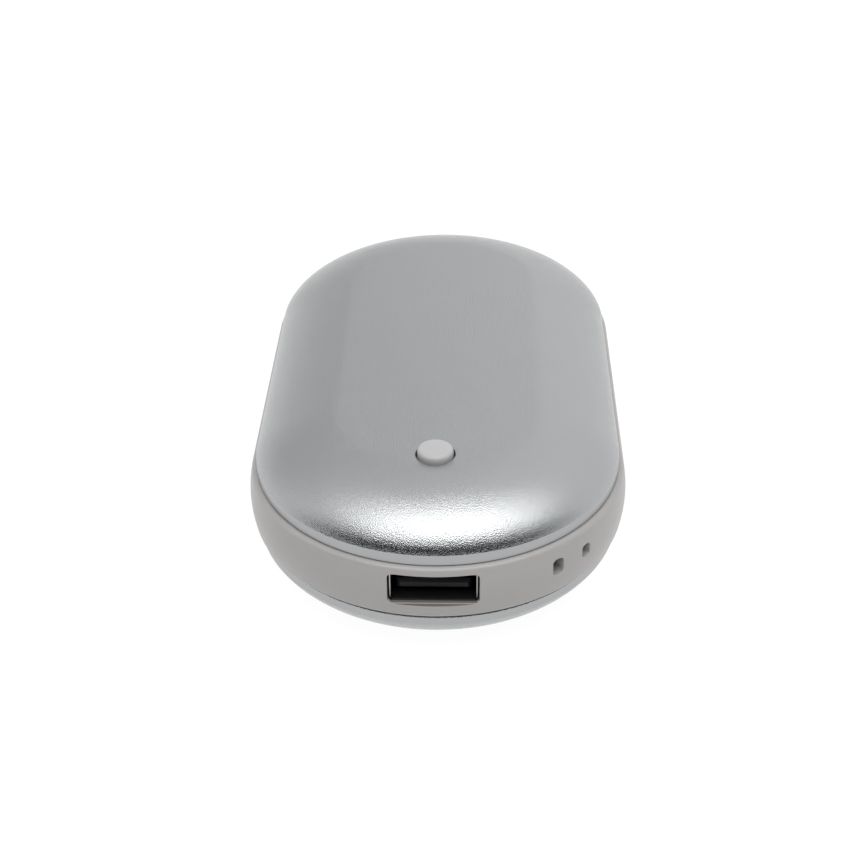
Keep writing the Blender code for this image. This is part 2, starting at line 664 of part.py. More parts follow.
def main_board():
    """Circuit board whose front edge follows the inside of the ring."""
    reach = HALF_WIDTH - RING_WALL - BOARD_EDGE_GAP
    half = BOARD_WIDTH / 2
    widest = math.asin(half / reach)
    angles = [widest * (2 * step / BOARD_ARC_STEPS - 1) for step in range(BOARD_ARC_STEPS + 1)]
    outline = [(reach * math.sin(angle), -END_CENTRE - reach * math.cos(angle)) for angle in angles]
    outline += [(half, BOARD_REAR_Y), (-half, BOARD_REAR_Y)]
    levels = [(outline, BOARD_TOP_Z - BOARD_THICKNESS), (outline, BOARD_TOP_Z)]
    board = stack("main_board", "circuit_green", levels)
    drill_board(board, BOARD_SCREWS, BOARD_TOP_Z)


def on_board(x, y, size):
    """Centre of a component that stands on the main board."""
    return (x, y, ON_BOARD_Z + size[2] / 2)


def board_components():
    for name, finish, x, row, size, rounding in (
            ("power_inductor", "ferrite", -PART_COLUMN, INDUCTOR_ROW, INDUCTOR_SIZE, INDUCTOR_CORNER),
            ("power_chip", "chip_black", PART_COLUMN, POWER_CHIP_ROW, POWER_CHIP_SIZE, 0),
            ("control_chip", "chip_black", PART_COLUMN, CONTROL_CHIP_ROW, CONTROL_CHIP_SIZE, 0)):
        block(name, finish, on_board(x, BOARD_REAR_Y - row, size), size, rounding)
    for name, size, row in (("heater_transistor", TRANSISTOR_SIZE, TRANSISTOR_ROW),
                            ("chip_resistor", RESISTOR_SIZE, RESISTOR_ROW)):
        shift = size[0] / 2 + GAP
        spots = [(-PART_COLUMN - shift, BOARD_REAR_Y - row), (shift - PART_COLUMN, BOARD_REAR_Y - row)]
        blocks(name, "chip_black", [on_board(x, y, size) for x, y in spots], size)
    column = LED_OFFSET + (LED_SIZE[0] + CAPACITOR_SIZE[0]) / 2 + CAPACITOR_GAP
    spots = [(side * column, BUTTON_Y - SMALL_PITCH / 2) for side in (-1, 1)]
    size = CAPACITOR_SIZE
    blocks("filter_capacitor", "ceramic_tan", [on_board(x, y, size) for x, y in spots], size)
    spots = [(side * LED_OFFSET, BUTTON_Y) for side in (-1, 1)]
    blocks("status_led", "led_lens", [on_board(x, y, LED_SIZE) for x, y in spots], LED_SIZE)


def button_switch():
    """Button cap, and the switch on the board that it presses."""
    floor_z = ON_BOARD_Z + SWITCH_FLOOR
    top_z = ON_BOARD_Z + SWITCH_HEIGHT
    body = block("tact_switch_body", "black_plastic", on_board(0, BUTTON_Y, (0, 0, SWITCH_HEIGHT)),
                 (SWITCH_SIZE, SWITCH_SIZE, SWITCH_HEIGHT))
    bore = PLUNGER_DIAMETER + 2 * GAP
    cut(body, disc("switch_bore", "steel", (0, BUTTON_Y), floor_z, top_z + OVERRUN, bore))
    dome_z = floor_z + GAP
    rim = circle(DOME_DIAMETER / 2, SMALL_ROUND_STEPS)
    crown = circle(DOME_DIAMETER / 4, SMALL_ROUND_STEPS)
    dome = stack("switch_dome", "steel", [(rim, dome_z), (rim, dome_z + DOME_THICKNESS / 2),
                                          (crown, dome_z + DOME_THICKNESS / 2 + DOME_CROWN)])
    dome.location.xy = (0, BUTTON_Y)
    plunger_low = dome_z + DOME_THICKNESS / 2 + DOME_CROWN + BUTTON_TRAVEL + GAP
    plunger_high = top_z + PLUNGER_PROUD
    disc("switch_plunger", "black_plastic", (0, BUTTON_Y), plunger_low, plunger_high, PLUNGER_DIAMETER)
    stem = circle(BUTTON_STEM / 2, ROUND_STEPS)
    flange = circle(BUTTON_FLANGE / 2, ROUND_STEPS)
    cap = circle(BUTTON_DIAMETER / 2, ROUND_STEPS)
    flange_z = MID_Z + COVER_UNDER - GAP
    cap_z = BODY_HEIGHT + BUTTON_PROUD
    levels = [(stem, plunger_high + GAP), (stem, flange_z - BUTTON_FLANGE_THICKNESS),
              (flange, flange_z - BUTTON_FLANGE_THICKNESS), (flange, flange_z), (cap, flange_z)]
    for step in range(SHOULDER_STEPS + 1):
        angle = math.pi / 2 * step / SHOULDER_STEPS
        radius = BUTTON_DIAMETER / 2 - BUTTON_EDGE * (1 - math.cos(angle))
        levels.append((circle(radius, ROUND_STEPS), cap_z - BUTTON_EDGE + BUTTON_EDGE * math.sin(angle)))
    made = stack("button_cap", "button_plastic", levels)
    made.location.xy = (0, BUTTON_Y)


def screw(name, place, seat_z, head, shank, length, up):
    """A screw with its head on the seat and its shank running on from there, up or down."""
    head_diameter, head_height = head
    head_round = circle(head_diameter / 2, SMALL_ROUND_STEPS)
    shank_round = circle(shank / 2, SMALL_ROUND_STEPS)
    levels = [(head_round, seat_z - up * head_height), (head_round, seat_z), (shank_round, seat_z),
              (shank_round, seat_z + up * length)]
    made = stack(name, "steel", levels)
    made.location.xy = place


def screws():
    seat_z = MID_Z - COVER_TOP + HEAD_POCKET_DEPTH - GAP
    head = (SCREW_HEAD, SCREW_HEAD_HEIGHT)
    length = MID_Z - seat_z + SCREW_BITE - GAP
    for number, place in enumerate(POSTS, 1):
        screw(f"cover_screw_{number}", place, seat_z, head, SCREW_SHANK, length, 1)
    head = (BOARD_SCREW_HEAD, BOARD_SCREW_HEAD_HEIGHT)
    length = BOARD_THICKNESS + BOARD_SCREW_BITE
    shank = BOARD_SCREW_SHANK
    for name, places, top_z in (("main_board_screw", BOARD_SCREWS, BOARD_TOP_Z),
                                ("charge_board_screw", CHARGE_SCREWS, CHARGE_TOP_Z)):
        for number, place in enumerate(places, 1):
            screw(f"{name}_{number}", place, top_z + GAP, head, shank, length, -1)


def smooth_route(points, count):
    """Even samples of a smooth curve through the route's own points."""
    places = [Vector(point) for point in points]
    padded = [places[0] * 2 - places[1], *places, places[-1] * 2 - places[-2]]
    samples = []
    for step in range(count):
        along = (len(places) - 1) * step / (count - 1)
        index = min(int(along), len(places) - 2)
        part = along - index
        before, start, end, after = padded[index:index + 4]
        samples.append(0.5 * (2 * start + (end - before) * part
                              + (2 * before - 5 * start + 4 * end - after) * part**2
                              + (3 * (start - end) + after - before) * part**3))
    return samples


def wire(name, finish, route, count=WIRE_POINTS):
    """Insulated wire as a bevelled curve with filled ends."""
    curve = bpy.data.curves.new(name, "CURVE")
    curve.dimensions = "3D"
    curve.bevel_depth = WIRE_DIAMETER / 2
    curve.bevel_resolution = WIRE_SIDES
    curve.use_fill_caps = True
    samples = smooth_route(route, count)
    spline = curve.splines.new("POLY")
    spline.points.add(len(samples) - 1)
    for point, sample in zip(spline.points, samples):
        point.co = (*sample, 1)
    made = bpy.data.objects.new(name, curve)
    bpy.context.collection.objects.link(made)
    curve.materials.append(material(finish))
    return made


def charge_route(side):
    """From the charging board, along the side of the cell, to the main board."""
    channel_x = (CELL_WIDTH / 2 + HALF_WIDTH - RING_WALL) / 2
    start_y = CHARGE_REAR_Y - SMALL_PITCH
    post_x, post_y = FRONT_POSTS[1]
    clear = POST_DIAMETER / 2 + WIRE_DIAMETER
    between_y = (CELL_FRONT_Y + post_y + POST_DIAMETER / 2) / 2
    rear_y = (CELL_REAR_Y + REAR_POSTS[0][1] - POST_DIAMETER / 2) / 2
    corner = Vector((CELL_WIDTH / 2, CELL_REAR_Y - END_CENTRE))
    corner *= 1 + (CELL_CORNER_GAP / 2) / corner.length
    half = [
        (INLET_WIDTH / 2 + SMALL_PITCH, start_y, CHARGE_TOP_Z + WIRE_PITCH / 2),
        (INLET_WIDTH / 2 + SMALL_PITCH, start_y - WIRE_PITCH, CHARGE_TOP_Z + SMALL_PITCH),
        (INLET_WIDTH / 2 + SMALL_PITCH, rear_y + WIRE_PITCH, MID_Z + WIRE_DIAMETER),
        (REAR_POSTS[1][0], rear_y, MID_Z),
        (CELL_WIDTH / 2 - SMALL_PITCH, rear_y, MID_Z),
        (corner.x, END_CENTRE + corner.y, MID_Z),
        (channel_x, END_CENTRE, MID_Z),
        (channel_x, 0, MID_Z),
        (channel_x, -END_CENTRE + SMALL_PITCH, MID_Z),
        (CELL_WIDTH / 2, CELL_FRONT_Y - WIRE_PITCH / 2, MID_Z),
        (post_x, between_y, MID_Z),
        (BOARD_WIDTH / 2 + WIRE_DIAMETER, between_y - WIRE_DIAMETER, MID_Z),
        (BOARD_WIDTH / 2 - WIRE_DIAMETER / 2, post_y + WIRE_DIAMETER, BOARD_TOP_Z + clear / 2),
        (BOARD_WIDTH / 2 - WIRE_DIAMETER, post_y - WIRE_DIAMETER, ON_BOARD_Z + GAP),
    ]
    return [(side * x, y, z) for x, y, z in half]


def inner_wires():
    for word, finish, side in (("positive", "wire_red", 1), ("negative", "wire_black", -1)):
        wire(f"charge_lead_{word}", finish, charge_route(side), CHARGE_WIRE_POINTS)
        x = side * CELL_LEAD_COLUMN
        start_y = PROTECTION_FRONT_Y - GAP
        end_y = BOARD_REAR_Y - CELL_LEAD_INSET
        route = [(x, start_y, MID_Z), (x, (start_y + end_y) / 2, MID_Z - WIRE_DIAMETER / 4),
                 (x, end_y, MID_Z - WIRE_DIAMETER), (x, end_y, ON_BOARD_Z)]
        wire(f"battery_lead_{word}", finish, route)
    film_gap = FILM_TOP - FILM_THICKNESS - GAP
    for word, side, end_z in (("top", 1, ON_BOARD_Z), ("bottom", -1, BOARD_TOP_Z - BOARD_THICKNESS - GAP)):
        for number, shift in ((1, -WIRE_PITCH / 2), (2, WIRE_PITCH / 2)):
            x = side * LEAD_COLUMN + shift
            start_z = MID_Z + side * film_gap
            route = [(x, LEAD_Y, start_z), (x, LEAD_Y - LEAD_BOW / 2, (start_z * 2 + end_z) / 3),
                     (x, LEAD_Y - LEAD_BOW, (start_z + end_z * 2) / 3), (x, LEAD_Y - LEAD_BOW, end_z)]
            wire(f"{word}_heater_lead_{number}", "wire_red", route)


def build():
    clear_scene()
    mid_frame()
    shell("top_shell", 1)
    shell("bottom_shell", -1)
    cover("top_cover", 1)
    cover("bottom_cover", -1)
    heater_parts()
    cell_parts()
    port_socket()
    charge_inlet()
    main_board()
    board_components()
    button_switch()
    screws()
    inner_wires()


build()
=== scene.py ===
# %% [markdown]
# # Rechargeable hand warmer
#
# A pocket hand warmer is a battery and two heater films between two drawn aluminium shells. A pale plastic
# ring holds the shells apart and carries a wide port, a lanyard tunnel and a charging inlet. This lesson
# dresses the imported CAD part: every piece rides on a CAD body, and the pieces that show get finer meshes.

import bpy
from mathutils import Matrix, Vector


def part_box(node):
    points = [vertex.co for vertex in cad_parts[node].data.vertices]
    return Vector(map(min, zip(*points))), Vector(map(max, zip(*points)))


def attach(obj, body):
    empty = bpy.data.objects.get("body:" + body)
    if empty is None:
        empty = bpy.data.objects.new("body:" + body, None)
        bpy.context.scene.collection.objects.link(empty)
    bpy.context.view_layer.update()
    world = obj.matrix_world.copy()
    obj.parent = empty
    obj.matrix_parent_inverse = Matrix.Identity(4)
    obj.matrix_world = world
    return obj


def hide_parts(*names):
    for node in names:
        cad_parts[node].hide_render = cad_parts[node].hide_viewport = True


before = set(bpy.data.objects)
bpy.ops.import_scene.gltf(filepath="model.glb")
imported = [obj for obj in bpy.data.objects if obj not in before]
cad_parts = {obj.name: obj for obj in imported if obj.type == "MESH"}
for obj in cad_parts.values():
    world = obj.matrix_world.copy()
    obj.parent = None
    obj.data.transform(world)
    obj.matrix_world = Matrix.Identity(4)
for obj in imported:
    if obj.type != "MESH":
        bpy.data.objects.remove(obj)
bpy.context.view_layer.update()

# %% Modules
import math

import bmesh
import bpy
from mathutils import Matrix, Vector

# %% [markdown]
# ## Sizes
#
# The frame is in metres, with the resting face at Z = 0, the long axis on Y and the wide port looking
# along -Y. The few sizes that the visible shapes share are written once here, as the CAD source has them.

# %% Sizes in metres
MM = 0.001
HALF_LENGTH = 51.5 * MM
HALF_WIDTH = 30 * MM
HEIGHT = 26 * MM
MID_Z = HEIGHT / 2
END_CENTRE = HALF_LENGTH - HALF_WIDTH
RING_HALF = 4.5 * MM
RING_WALL = 2.2 * MM
RING_CROWN = 0.4 * MM
RING_SHOULDER = 0.9 * MM
GAP = 0.3 * MM
LEDGE = RING_CROWN + RING_SHOULDER
CREASE = RING_HALF + 1.9 * MM
SHELL_WALL = 0.8 * MM
FLAT_INSET = LEDGE + 13.2 * MM
CURVE_POWER = 1.75
PORT_Z = MID_Z + 0.7 * MM
BUTTON_Y = 18 * MM - HALF_LENGTH
print("ring from", MID_Z - RING_HALF, "to", MID_Z + RING_HALF)

# %% [markdown]
# ## Camera
#
# The photograph looks down on the port end from a little above and a little to the left. A long lens from
# nearly 0.3 m away gives the same narrowing towards the far end, so the camera is placed by its angles, its
# distance and its lens, and then aimed at a point inside the body.

# %% Place the camera
ELEVATION = math.radians(32.73)
YAW = math.radians(-2.075)
ROLL = math.radians(-0.741)
DISTANCE = 274.0 * MM
FOCAL_PIXELS = 1612.3
FRAME_PIXELS = 850
SENSOR_WIDTH = 36
AIM = Vector((-2.557, -4.627, 12.5)) * MM


def place_camera():
    """Aim a camera at the body from the photograph's side and height."""
    back = Vector((-math.sin(YAW) * math.cos(ELEVATION), -math.cos(YAW) * math.cos(ELEVATION),
                   math.sin(ELEVATION)))
    right = Vector((0, 0, 1)).cross(back).normalized()
    up = back.cross(right)
    turned_right = right * math.cos(ROLL) + up * math.sin(ROLL)
    turned_up = up * math.cos(ROLL) - right * math.sin(ROLL)
    lens = bpy.data.cameras.new("view")
    lens.sensor_width = SENSOR_WIDTH
    lens.lens = SENSOR_WIDTH * FOCAL_PIXELS / FRAME_PIXELS
    lens.clip_start = 0.01
    lens.clip_end = 20
    camera = bpy.data.objects.new("view", lens)
    camera.matrix_world = Matrix((turned_right, turned_up, back)).transposed().to_4x4()
    camera.location = AIM + back * DISTANCE
    bpy.context.scene.collection.objects.link(camera)
    bpy.context.scene.camera = camera
    return camera


camera = place_camera()
print("camera at", [round(v, 3) for v in camera.location])

# %% [markdown]
# ## Writing materials as sums
#
# A material here is a small program. One class wraps a number that varies over the surface, so that
# `noise * 0.2 + 0.4` adds the Math nodes by itself. A second class holds the node tree and has one method
# that adds any other node.

# %% Numbers that vary over a surface


class Number:
    """A socket that carries one number, with Python's operators."""

    def __init__(self, finish, socket):
        self.finish = finish
        self.socket = socket

    def _sum(self, operation, first, second):
        made = self.finish.add("ShaderNodeMath", {"operation": operation}, {0: first, 1: second})
        return Number(self.finish, made.outputs[0])

    def __add__(self, other):
        return self._sum("ADD", self, other)

    def __radd__(self, other):
        return self._sum("ADD", other, self)

    def __mul__(self, other):
        return self._sum("MULTIPLY", self, other)

    def __rmul__(self, other):
        return self._sum("MULTIPLY", other, self)

    def larger(self, other):
        return self._sum("MAXIMUM", self, other)


# %% A finish is a material with its node tree


class Finish:
    """One material. Its methods add nodes and give back sockets or numbers."""

    def __init__(self, name, colour, roughness, metallic=0.0, specular=0.5):
        self.material = bpy.data.materials.new(name)
        self.material.use_nodes = True
        self.tree = self.material.node_tree
        self.shader = self.tree.nodes["Principled BSDF"]
        self.shader.inputs["Base Color"].default_value = (*colour, 1.0)
        self.shader.inputs["Roughness"].default_value = roughness
        self.shader.inputs["Metallic"].default_value = metallic
        self.shader.inputs["Specular IOR Level"].default_value = specular
        self.place = self.add("ShaderNodeTexCoord").outputs["Object"]

    def feed(self, socket, value):
        """Give a socket a link, a colour, a vector or a number."""
        if isinstance(value, Number):
            value = value.socket
        if isinstance(value, bpy.types.NodeSocket):
            self.tree.links.new(value, socket)
        elif hasattr(socket.default_value, "__len__") and len(socket.default_value) == 4:
            socket.default_value = (*value[:3], 1.0)
        else:
            socket.default_value = value

    def add(self, kind, settings=None, values=None):
        """Add any node: its settings first, then the values or links of its sockets."""
        made = self.tree.nodes.new(kind)
        for name, value in (settings or {}).items():
            if name == "stops":
                ramp = made.color_ramp
                for element, (position, grey) in zip(ramp.elements, value):
                    element.position = position
                    element.color = (grey, grey, grey, 1.0)
            else:
                setattr(made, name, value)
        for name, value in (values or {}).items():
            self.feed(made.inputs[name], value)
        return made

    def stretched(self, scale):
        """Object coordinates, scaled by a Mapping node."""
        made = self.add("ShaderNodeMapping", None, {"Vector": self.place, "Scale": scale})
        return made.outputs["Vector"]

    def noise(self, grain, detail=3.0, rough=0.5, place=None):
        """Smooth noise from 0 to 1 whose lumps are about as wide as grain, in metres."""
        made = self.add("ShaderNodeTexNoise", None,
                        {"Vector": place or self.place, "Scale": 1 / grain, "Detail": detail,
                         "Roughness": rough})
        return Number(self, made.outputs["Fac"])

    def cells(self, width, place=None, feature="F1"):
        """Distance to the nearest scattered point, or to the nearest cell edge."""
        made = self.add("ShaderNodeTexVoronoi", {"feature": feature},
                        {"Vector": place or self.place, "Scale": 1 / width})
        return Number(self, made.outputs["Distance"])

    def ramp(self, number, stops):
        """A number that runs through stops of (position, grey)."""
        made = self.add("ShaderNodeValToRGB", {"stops": stops}, {"Fac": number})
        return Number(self, made.outputs["Color"])

    def blend(self, share, first, second):
        """A colour between two others."""
        made = self.add("ShaderNodeMix", {"data_type": "RGBA"}, {0: share, 6: first, 7: second})
        return made.outputs[2]

    def bump(self, height, strength, distance):
        made = self.add("ShaderNodeBump", None,
                        {"Height": height, "Strength": strength, "Distance": distance})
        self.tree.links.new(made.outputs["Normal"], self.shader.inputs["Normal"])

    def colour(self, value):
        self.feed(self.shader.inputs["Base Color"], value)

    def roughness(self, value):
        self.feed(self.shader.inputs["Roughness"], value)


# %% [markdown]
# ## Bead-blasted aluminium
#
# The shells are aluminium sheet that was drawn, blasted with glass beads and anodised. Each bead leaves a
# tiny dent, so a highlight breaks up into sparkles where it fades out. Cells about a sixth of a millimetre
# wide tilt the surface through a Bump node, and a slower noise varies the roughness as handling does. The
# lip beside the ring was burnished when it was trimmed, so it gets the same metal with less grain.

# %% Aluminium finishes
METAL = (0.40, 0.41, 0.415)
METAL_WORN = (0.395, 0.405, 0.41)
METAL_BRIGHT = (0.415, 0.425, 0.43)
DENT_WIDTH = 0.17 * MM
DENT_DEPTH = 0.042 * MM
FINE_GRAIN = 0.14 * MM
WEAR_PATCH = 9 * MM


def aluminium(name, grain_strength, roughness):
    """Blasted metal; grain_strength says how much of the dents is left."""
    finish = Finish(name, METAL, roughness, metallic=1.0)
    dents = finish.cells(DENT_WIDTH)
    fine = finish.noise(FINE_GRAIN, 1.0, 0.5)
    wear = finish.noise(WEAR_PATCH, 3.0, 0.55)
    finish.bump(dents * 0.75 + fine * 0.25, grain_strength, DENT_DEPTH)
    finish.roughness(wear * 0.05 + fine * 0.05 + (roughness - 0.05))
    finish.colour(finish.blend(wear, METAL_WORN, METAL_BRIGHT))
    return finish.material


BLASTED = aluminium("bead_blasted_aluminium", 1.0, 0.24)
BURNISHED = aluminium("burnished_aluminium", 0.06, 0.30)
print("made", BLASTED.name, BURNISHED.name)

# %% [markdown]
# ## Plastics and port metals
#
# The ring and the button are moulded in a pale warm plastic with a fine spark-eroded texture. The socket is
# nickel-plated steel that has dulled, and where the hole shades it, a near-black copy of that steel stands in
# as painted shade. Its tongue is black filled nylon.
# One function makes every moulded finish, and one every plated finish, from a colour and a roughness.

# %% Plastic finishes
MOULD_TEXTURE = 0.18 * MM
TEXTURE_DEPTH = 0.03 * MM
COLOUR_PATCH = 14 * MM
PATCH_SHADE = 0.965


def moulded_plastic(name, colour, roughness, grain=MOULD_TEXTURE, strength=0.10):
    """Plastic with the mould's grain, a little darker in wide patches."""
    finish = Finish(name, colour, roughness)
    texture = finish.noise(grain, 2.0, 0.5)
    cloud = finish.noise(COLOUR_PATCH, 2.0, 0.5)
    finish.bump(texture, strength, TEXTURE_DEPTH)
    finish.roughness(cloud * 0.08 + texture * 0.04 + (roughness - 0.06))
    darker = tuple(part * PATCH_SHADE for part in colour)
    finish.colour(finish.blend(cloud, darker, colour))
    return finish.material


RING_PLASTIC = moulded_plastic("ring_plastic", (0.455, 0.44, 0.432), 0.34)
BUTTON_PLASTIC = moulded_plastic("button_plastic", (0.545, 0.54, 0.545), 0.38, 0.15 * MM, 0.06)
CARRIER_PLASTIC = moulded_plastic("carrier_plastic", (0.50, 0.50, 0.48), 0.55, 0.3 * MM, 0.2)
BLACK_NYLON = moulded_plastic("black_nylon", (0.022, 0.024, 0.028), 0.45, 0.2 * MM, 0.2)

# %% Plated finishes
STREAK_WIDTH = 0.12 * MM
STREAK_SCALE = (1, 0.08, 1)
TARNISH_PATCH = 2.5 * MM


def plated_steel(name, colour, roughness):
    """Plated metal with streaks along Y from the rolling of its strip."""
    finish = Finish(name, colour, roughness, metallic=1.0)
    streaks = finish.noise(STREAK_WIDTH, 3.0, 0.6, finish.stretched(STREAK_SCALE))
    cloud = finish.noise(TARNISH_PATCH, 3.0, 0.6)
    finish.bump(streaks, 0.12, TEXTURE_DEPTH)
    finish.roughness(streaks * 0.14 + cloud * 0.10 + (roughness - 0.12))
    return finish.material


PORT_STEEL = plated_steel("port_steel", (0.50, 0.49, 0.47), 0.32)
# Near-black copy of the port steel: painted shade for the inside of the socket.
SHADED_STEEL = plated_steel("shaded_steel", (0.045, 0.045, 0.05), 0.6)
# Dark brown copy of the ring plastic: painted shade for the lower wall inside the port hole, not wear.
PORT_WALL_SHADE = moulded_plastic("port_wall_painted_shade", (0.20, 0.18, 0.165), 0.5, 0.2 * MM, 0.2)
print("made the ring, button and port finishes")

# %% [markdown]
# ## Skins from sections
#
# Most of this body is one section carried round one outline: a racetrack with half-round ends. A
# Geometry Nodes tree does that for the ring and for both shells. It draws the outline as a circle whose two
# halves are moved apart, and sweeps whatever section the object holds along it.

# %% Geometry Nodes: sweep a section round a racetrack
ARC_STEPS = 288


def racetrack_tree():
    """Node tree: a circle whose halves move apart, with the object's own section swept along it."""
    tree = bpy.data.node_groups.new("racetrack_sweep", "GeometryNodeTree")
    face = tree.interface
    face.new_socket("Geometry", in_out="INPUT", socket_type="NodeSocketGeometry")
    for name, value in (("Width", 2 * HALF_WIDTH), ("Length", 2 * HALF_LENGTH)):
        face.new_socket(name, in_out="INPUT", socket_type="NodeSocketFloat").default_value = value
    face.new_socket("Arc Steps", in_out="INPUT", socket_type="NodeSocketInt").default_value = ARC_STEPS
    face.new_socket("Material", in_out="INPUT", socket_type="NodeSocketMaterial")
    face.new_socket("Geometry", in_out="OUTPUT", socket_type="NodeSocketGeometry")
    link = tree.links.new

    def add(kind, operation=None, *values):
        """Add a node and fill its sockets in order with links or values."""
        made = tree.nodes.new(kind)
        if operation:
            made.operation = operation
        for place, value in enumerate(values):
            if isinstance(value, bpy.types.NodeSocket):
                link(value, made.inputs[place])
            elif value is not None:
                made.inputs[place].default_value = value
        return made

    given = add("NodeGroupInput")
    radius = add("ShaderNodeMath", "MULTIPLY", given.outputs["Width"], 0.5).outputs[0]
    spare = add("ShaderNodeMath", "SUBTRACT", given.outputs["Length"], given.outputs["Width"]).outputs[0]
    shift = add("ShaderNodeMath", "MULTIPLY", spare, 0.5).outputs[0]
    half_step = add("ShaderNodeMath", "DIVIDE", math.pi, given.outputs["Arc Steps"]).outputs[0]
    circle_curve = add("GeometryNodeCurvePrimitiveCircle")
    link(given.outputs["Arc Steps"], circle_curve.inputs["Resolution"])
    link(radius, circle_curve.inputs["Radius"])
    turn = add("ShaderNodeCombineXYZ", None, 0.0, 0.0, half_step).outputs[0]
    turned = add("GeometryNodeTransform")
    link(circle_curve.outputs["Curve"], turned.inputs["Geometry"])
    link(turn, turned.inputs["Rotation"])
    place = add("ShaderNodeSeparateXYZ", None, add("GeometryNodeInputPosition").outputs[0])
    side = add("ShaderNodeMath", "SIGN", place.outputs["Y"]).outputs[0]
    apart = add("ShaderNodeMath", "MULTIPLY", side, shift).outputs[0]
    offset = add("ShaderNodeCombineXYZ", None, 0.0, apart, 0.0).outputs[0]
    outline = add("GeometryNodeSetPosition")
    link(turned.outputs["Geometry"], outline.inputs["Geometry"])
    link(offset, outline.inputs["Offset"])
    section = add("GeometryNodeMeshToCurve", None, given.outputs["Geometry"])
    sweep = add("GeometryNodeCurveToMesh")
    link(outline.outputs["Geometry"], sweep.inputs["Curve"])
    link(section.outputs["Curve"], sweep.inputs["Profile Curve"])
    real = add("GeometryNodeRealizeInstances", None, sweep.outputs["Mesh"])
    paint = add("GeometryNodeSetMaterial")
    link(real.outputs["Geometry"], paint.inputs["Geometry"])
    link(given.outputs["Material"], paint.inputs["Material"])
    link(paint.outputs["Geometry"], add("NodeGroupOutput").inputs["Geometry"])
    return tree


RACETRACK = racetrack_tree()


def set_inputs(modifier, **values):
    """Give a Geometry Nodes modifier its inputs by the sockets' identifiers."""
    known = {item.name: item.identifier for item in modifier.node_group.interface.items_tree
             if getattr(item, "in_out", "") == "INPUT"}
    for name, value in values.items():
        modifier[known[name.replace("_", " ")]] = value


def plain_mesh(made):
    """Turn an object with modifiers into one with a plain mesh."""
    bpy.context.view_layer.update()
    shown = made.evaluated_get(bpy.context.evaluated_depsgraph_get())
    mesh = bpy.data.meshes.new_from_object(shown)
    made.modifiers.clear()
    made.data = mesh
    mesh.name = made.name
    return made


def new_object(name, mesh):
    made = bpy.data.objects.new(name, mesh)
    bpy.context.scene.collection.objects.link(made)
    return made


def object_from(name, bm, finish=None):
    """Turn a finished bmesh into an object with one finish."""
    mesh = bpy.data.meshes.new(name)
    bm.to_mesh(mesh)
    bm.free()
    if finish:
        mesh.materials.append(finish)
    return new_object(name, mesh)


def sweep_section(name, section, closed, finish):
    """Sweep (inset, height) points round the racetrack and give the plain mesh."""
    bm = bmesh.new()
    verts = [bm.verts.new((-inset, -height, 0)) for inset, height in section]
    pairs = list(zip(verts, verts[1:]))
    if closed:
        pairs.append((verts[-1], verts[0]))
    for first, second in pairs:
        bm.edges.new((first, second))
    made = object_from(name, bm)
    step = made.modifiers.new("sweep", "NODES")
    step.node_group = RACETRACK
    set_inputs(step, Width=2 * HALF_WIDTH, Length=2 * HALF_LENGTH, Arc_Steps=ARC_STEPS, Material=finish)
    return plain_mesh(made)


print("tree", RACETRACK.name, "with", len(RACETRACK.nodes), "nodes")

# %% [markdown]
# ## Finishing a mesh
#
# A swept or skinned mesh still has open ends, loose normals and no shading. These helpers close a flat end
# with strips of faces, point every face outwards, and keep an edge sharp only where the surface really
# turns. A clean cut is a Boolean on closed meshes, whose cutter is removed once the plain mesh is taken.

# %% Closing, shading and cutting
SHARP_TURN = math.radians(14)
MERGE_WITHIN = 0.001 * MM
CUT_OVERLAP = 0.02 * MM
CORNER_STEPS = 8
LEVEL_DIGITS = 5


def fill_across(bm, rim):
    """Close a racetrack-shaped opening with faces that run from its one side to its other."""
    inside = set(rim)
    first = min(rim, key=lambda v: v.co.y)
    loop = [first]
    while True:
        nearby = [edge.other_vert(loop[-1]) for edge in loop[-1].link_edges if edge.is_boundary]
        onward = [v for v in nearby if v in inside and v not in loop]
        if not onward:
            break
        loop.append(onward[0])
    count = len(loop)
    for k in range((count - 1) // 2):
        corners = [loop[k], loop[k + 1], loop[count - k - 1], loop[-k]]
        bm.faces.new(list(dict.fromkeys(corners)))
    if count % 2 == 0:
        middle = count // 2
        bm.faces.new((loop[middle - 1], loop[middle], loop[middle + 1]))


def close_and_shade(made, fill=False):
    """Merge doubles, fill open flats, turn faces outwards and shade smooth up to a sharp turn."""
    bm = bmesh.new()
    bm.from_mesh(made.data)
    bmesh.ops.remove_doubles(bm, verts=bm.verts, dist=MERGE_WITHIN)
    if fill:
        open_ends = {v for edge in bm.edges if edge.is_boundary for v in edge.verts}
        for level in sorted({round(v.co.z, LEVEL_DIGITS) for v in open_ends}):
            fill_across(bm, [v for v in open_ends if round(v.co.z, LEVEL_DIGITS) == level])
    left_open = sum(1 for edge in bm.edges if len(edge.link_faces) != 2)
    if left_open:
        print(made.name, "has", left_open, "edges without two faces")
    bmesh.ops.recalc_face_normals(bm, faces=bm.faces)
    if bm.calc_volume(signed=True) < 0:
        bmesh.ops.reverse_faces(bm, faces=bm.faces)
    bm.to_mesh(made.data)
    bm.free()
    made.data.shade_smooth()
    made.data.set_sharp_from_angle(angle=SHARP_TURN)
    return made


def skin(name, rows, finish, hollow=False):
    """Skin closed outlines, given as rows of points. Both ends are closed, or meet in a hollow tube."""
    bm = bmesh.new()
    rings = [[bm.verts.new(point) for point in row] for row in rows]
    onward = rings[1:] + rings[:1] if hollow else rings[1:]
    for low, high in zip(rings, onward):
        count = len(low)
        for here in range(count):
            there = (here + 1) % count
            bm.faces.new((low[here], low[there], high[there], high[here]))
    if not hollow:
        bm.faces.new(rings[0])
        bm.faces.new(rings[-1])
    return close_and_shade(object_from(name, bm, finish))


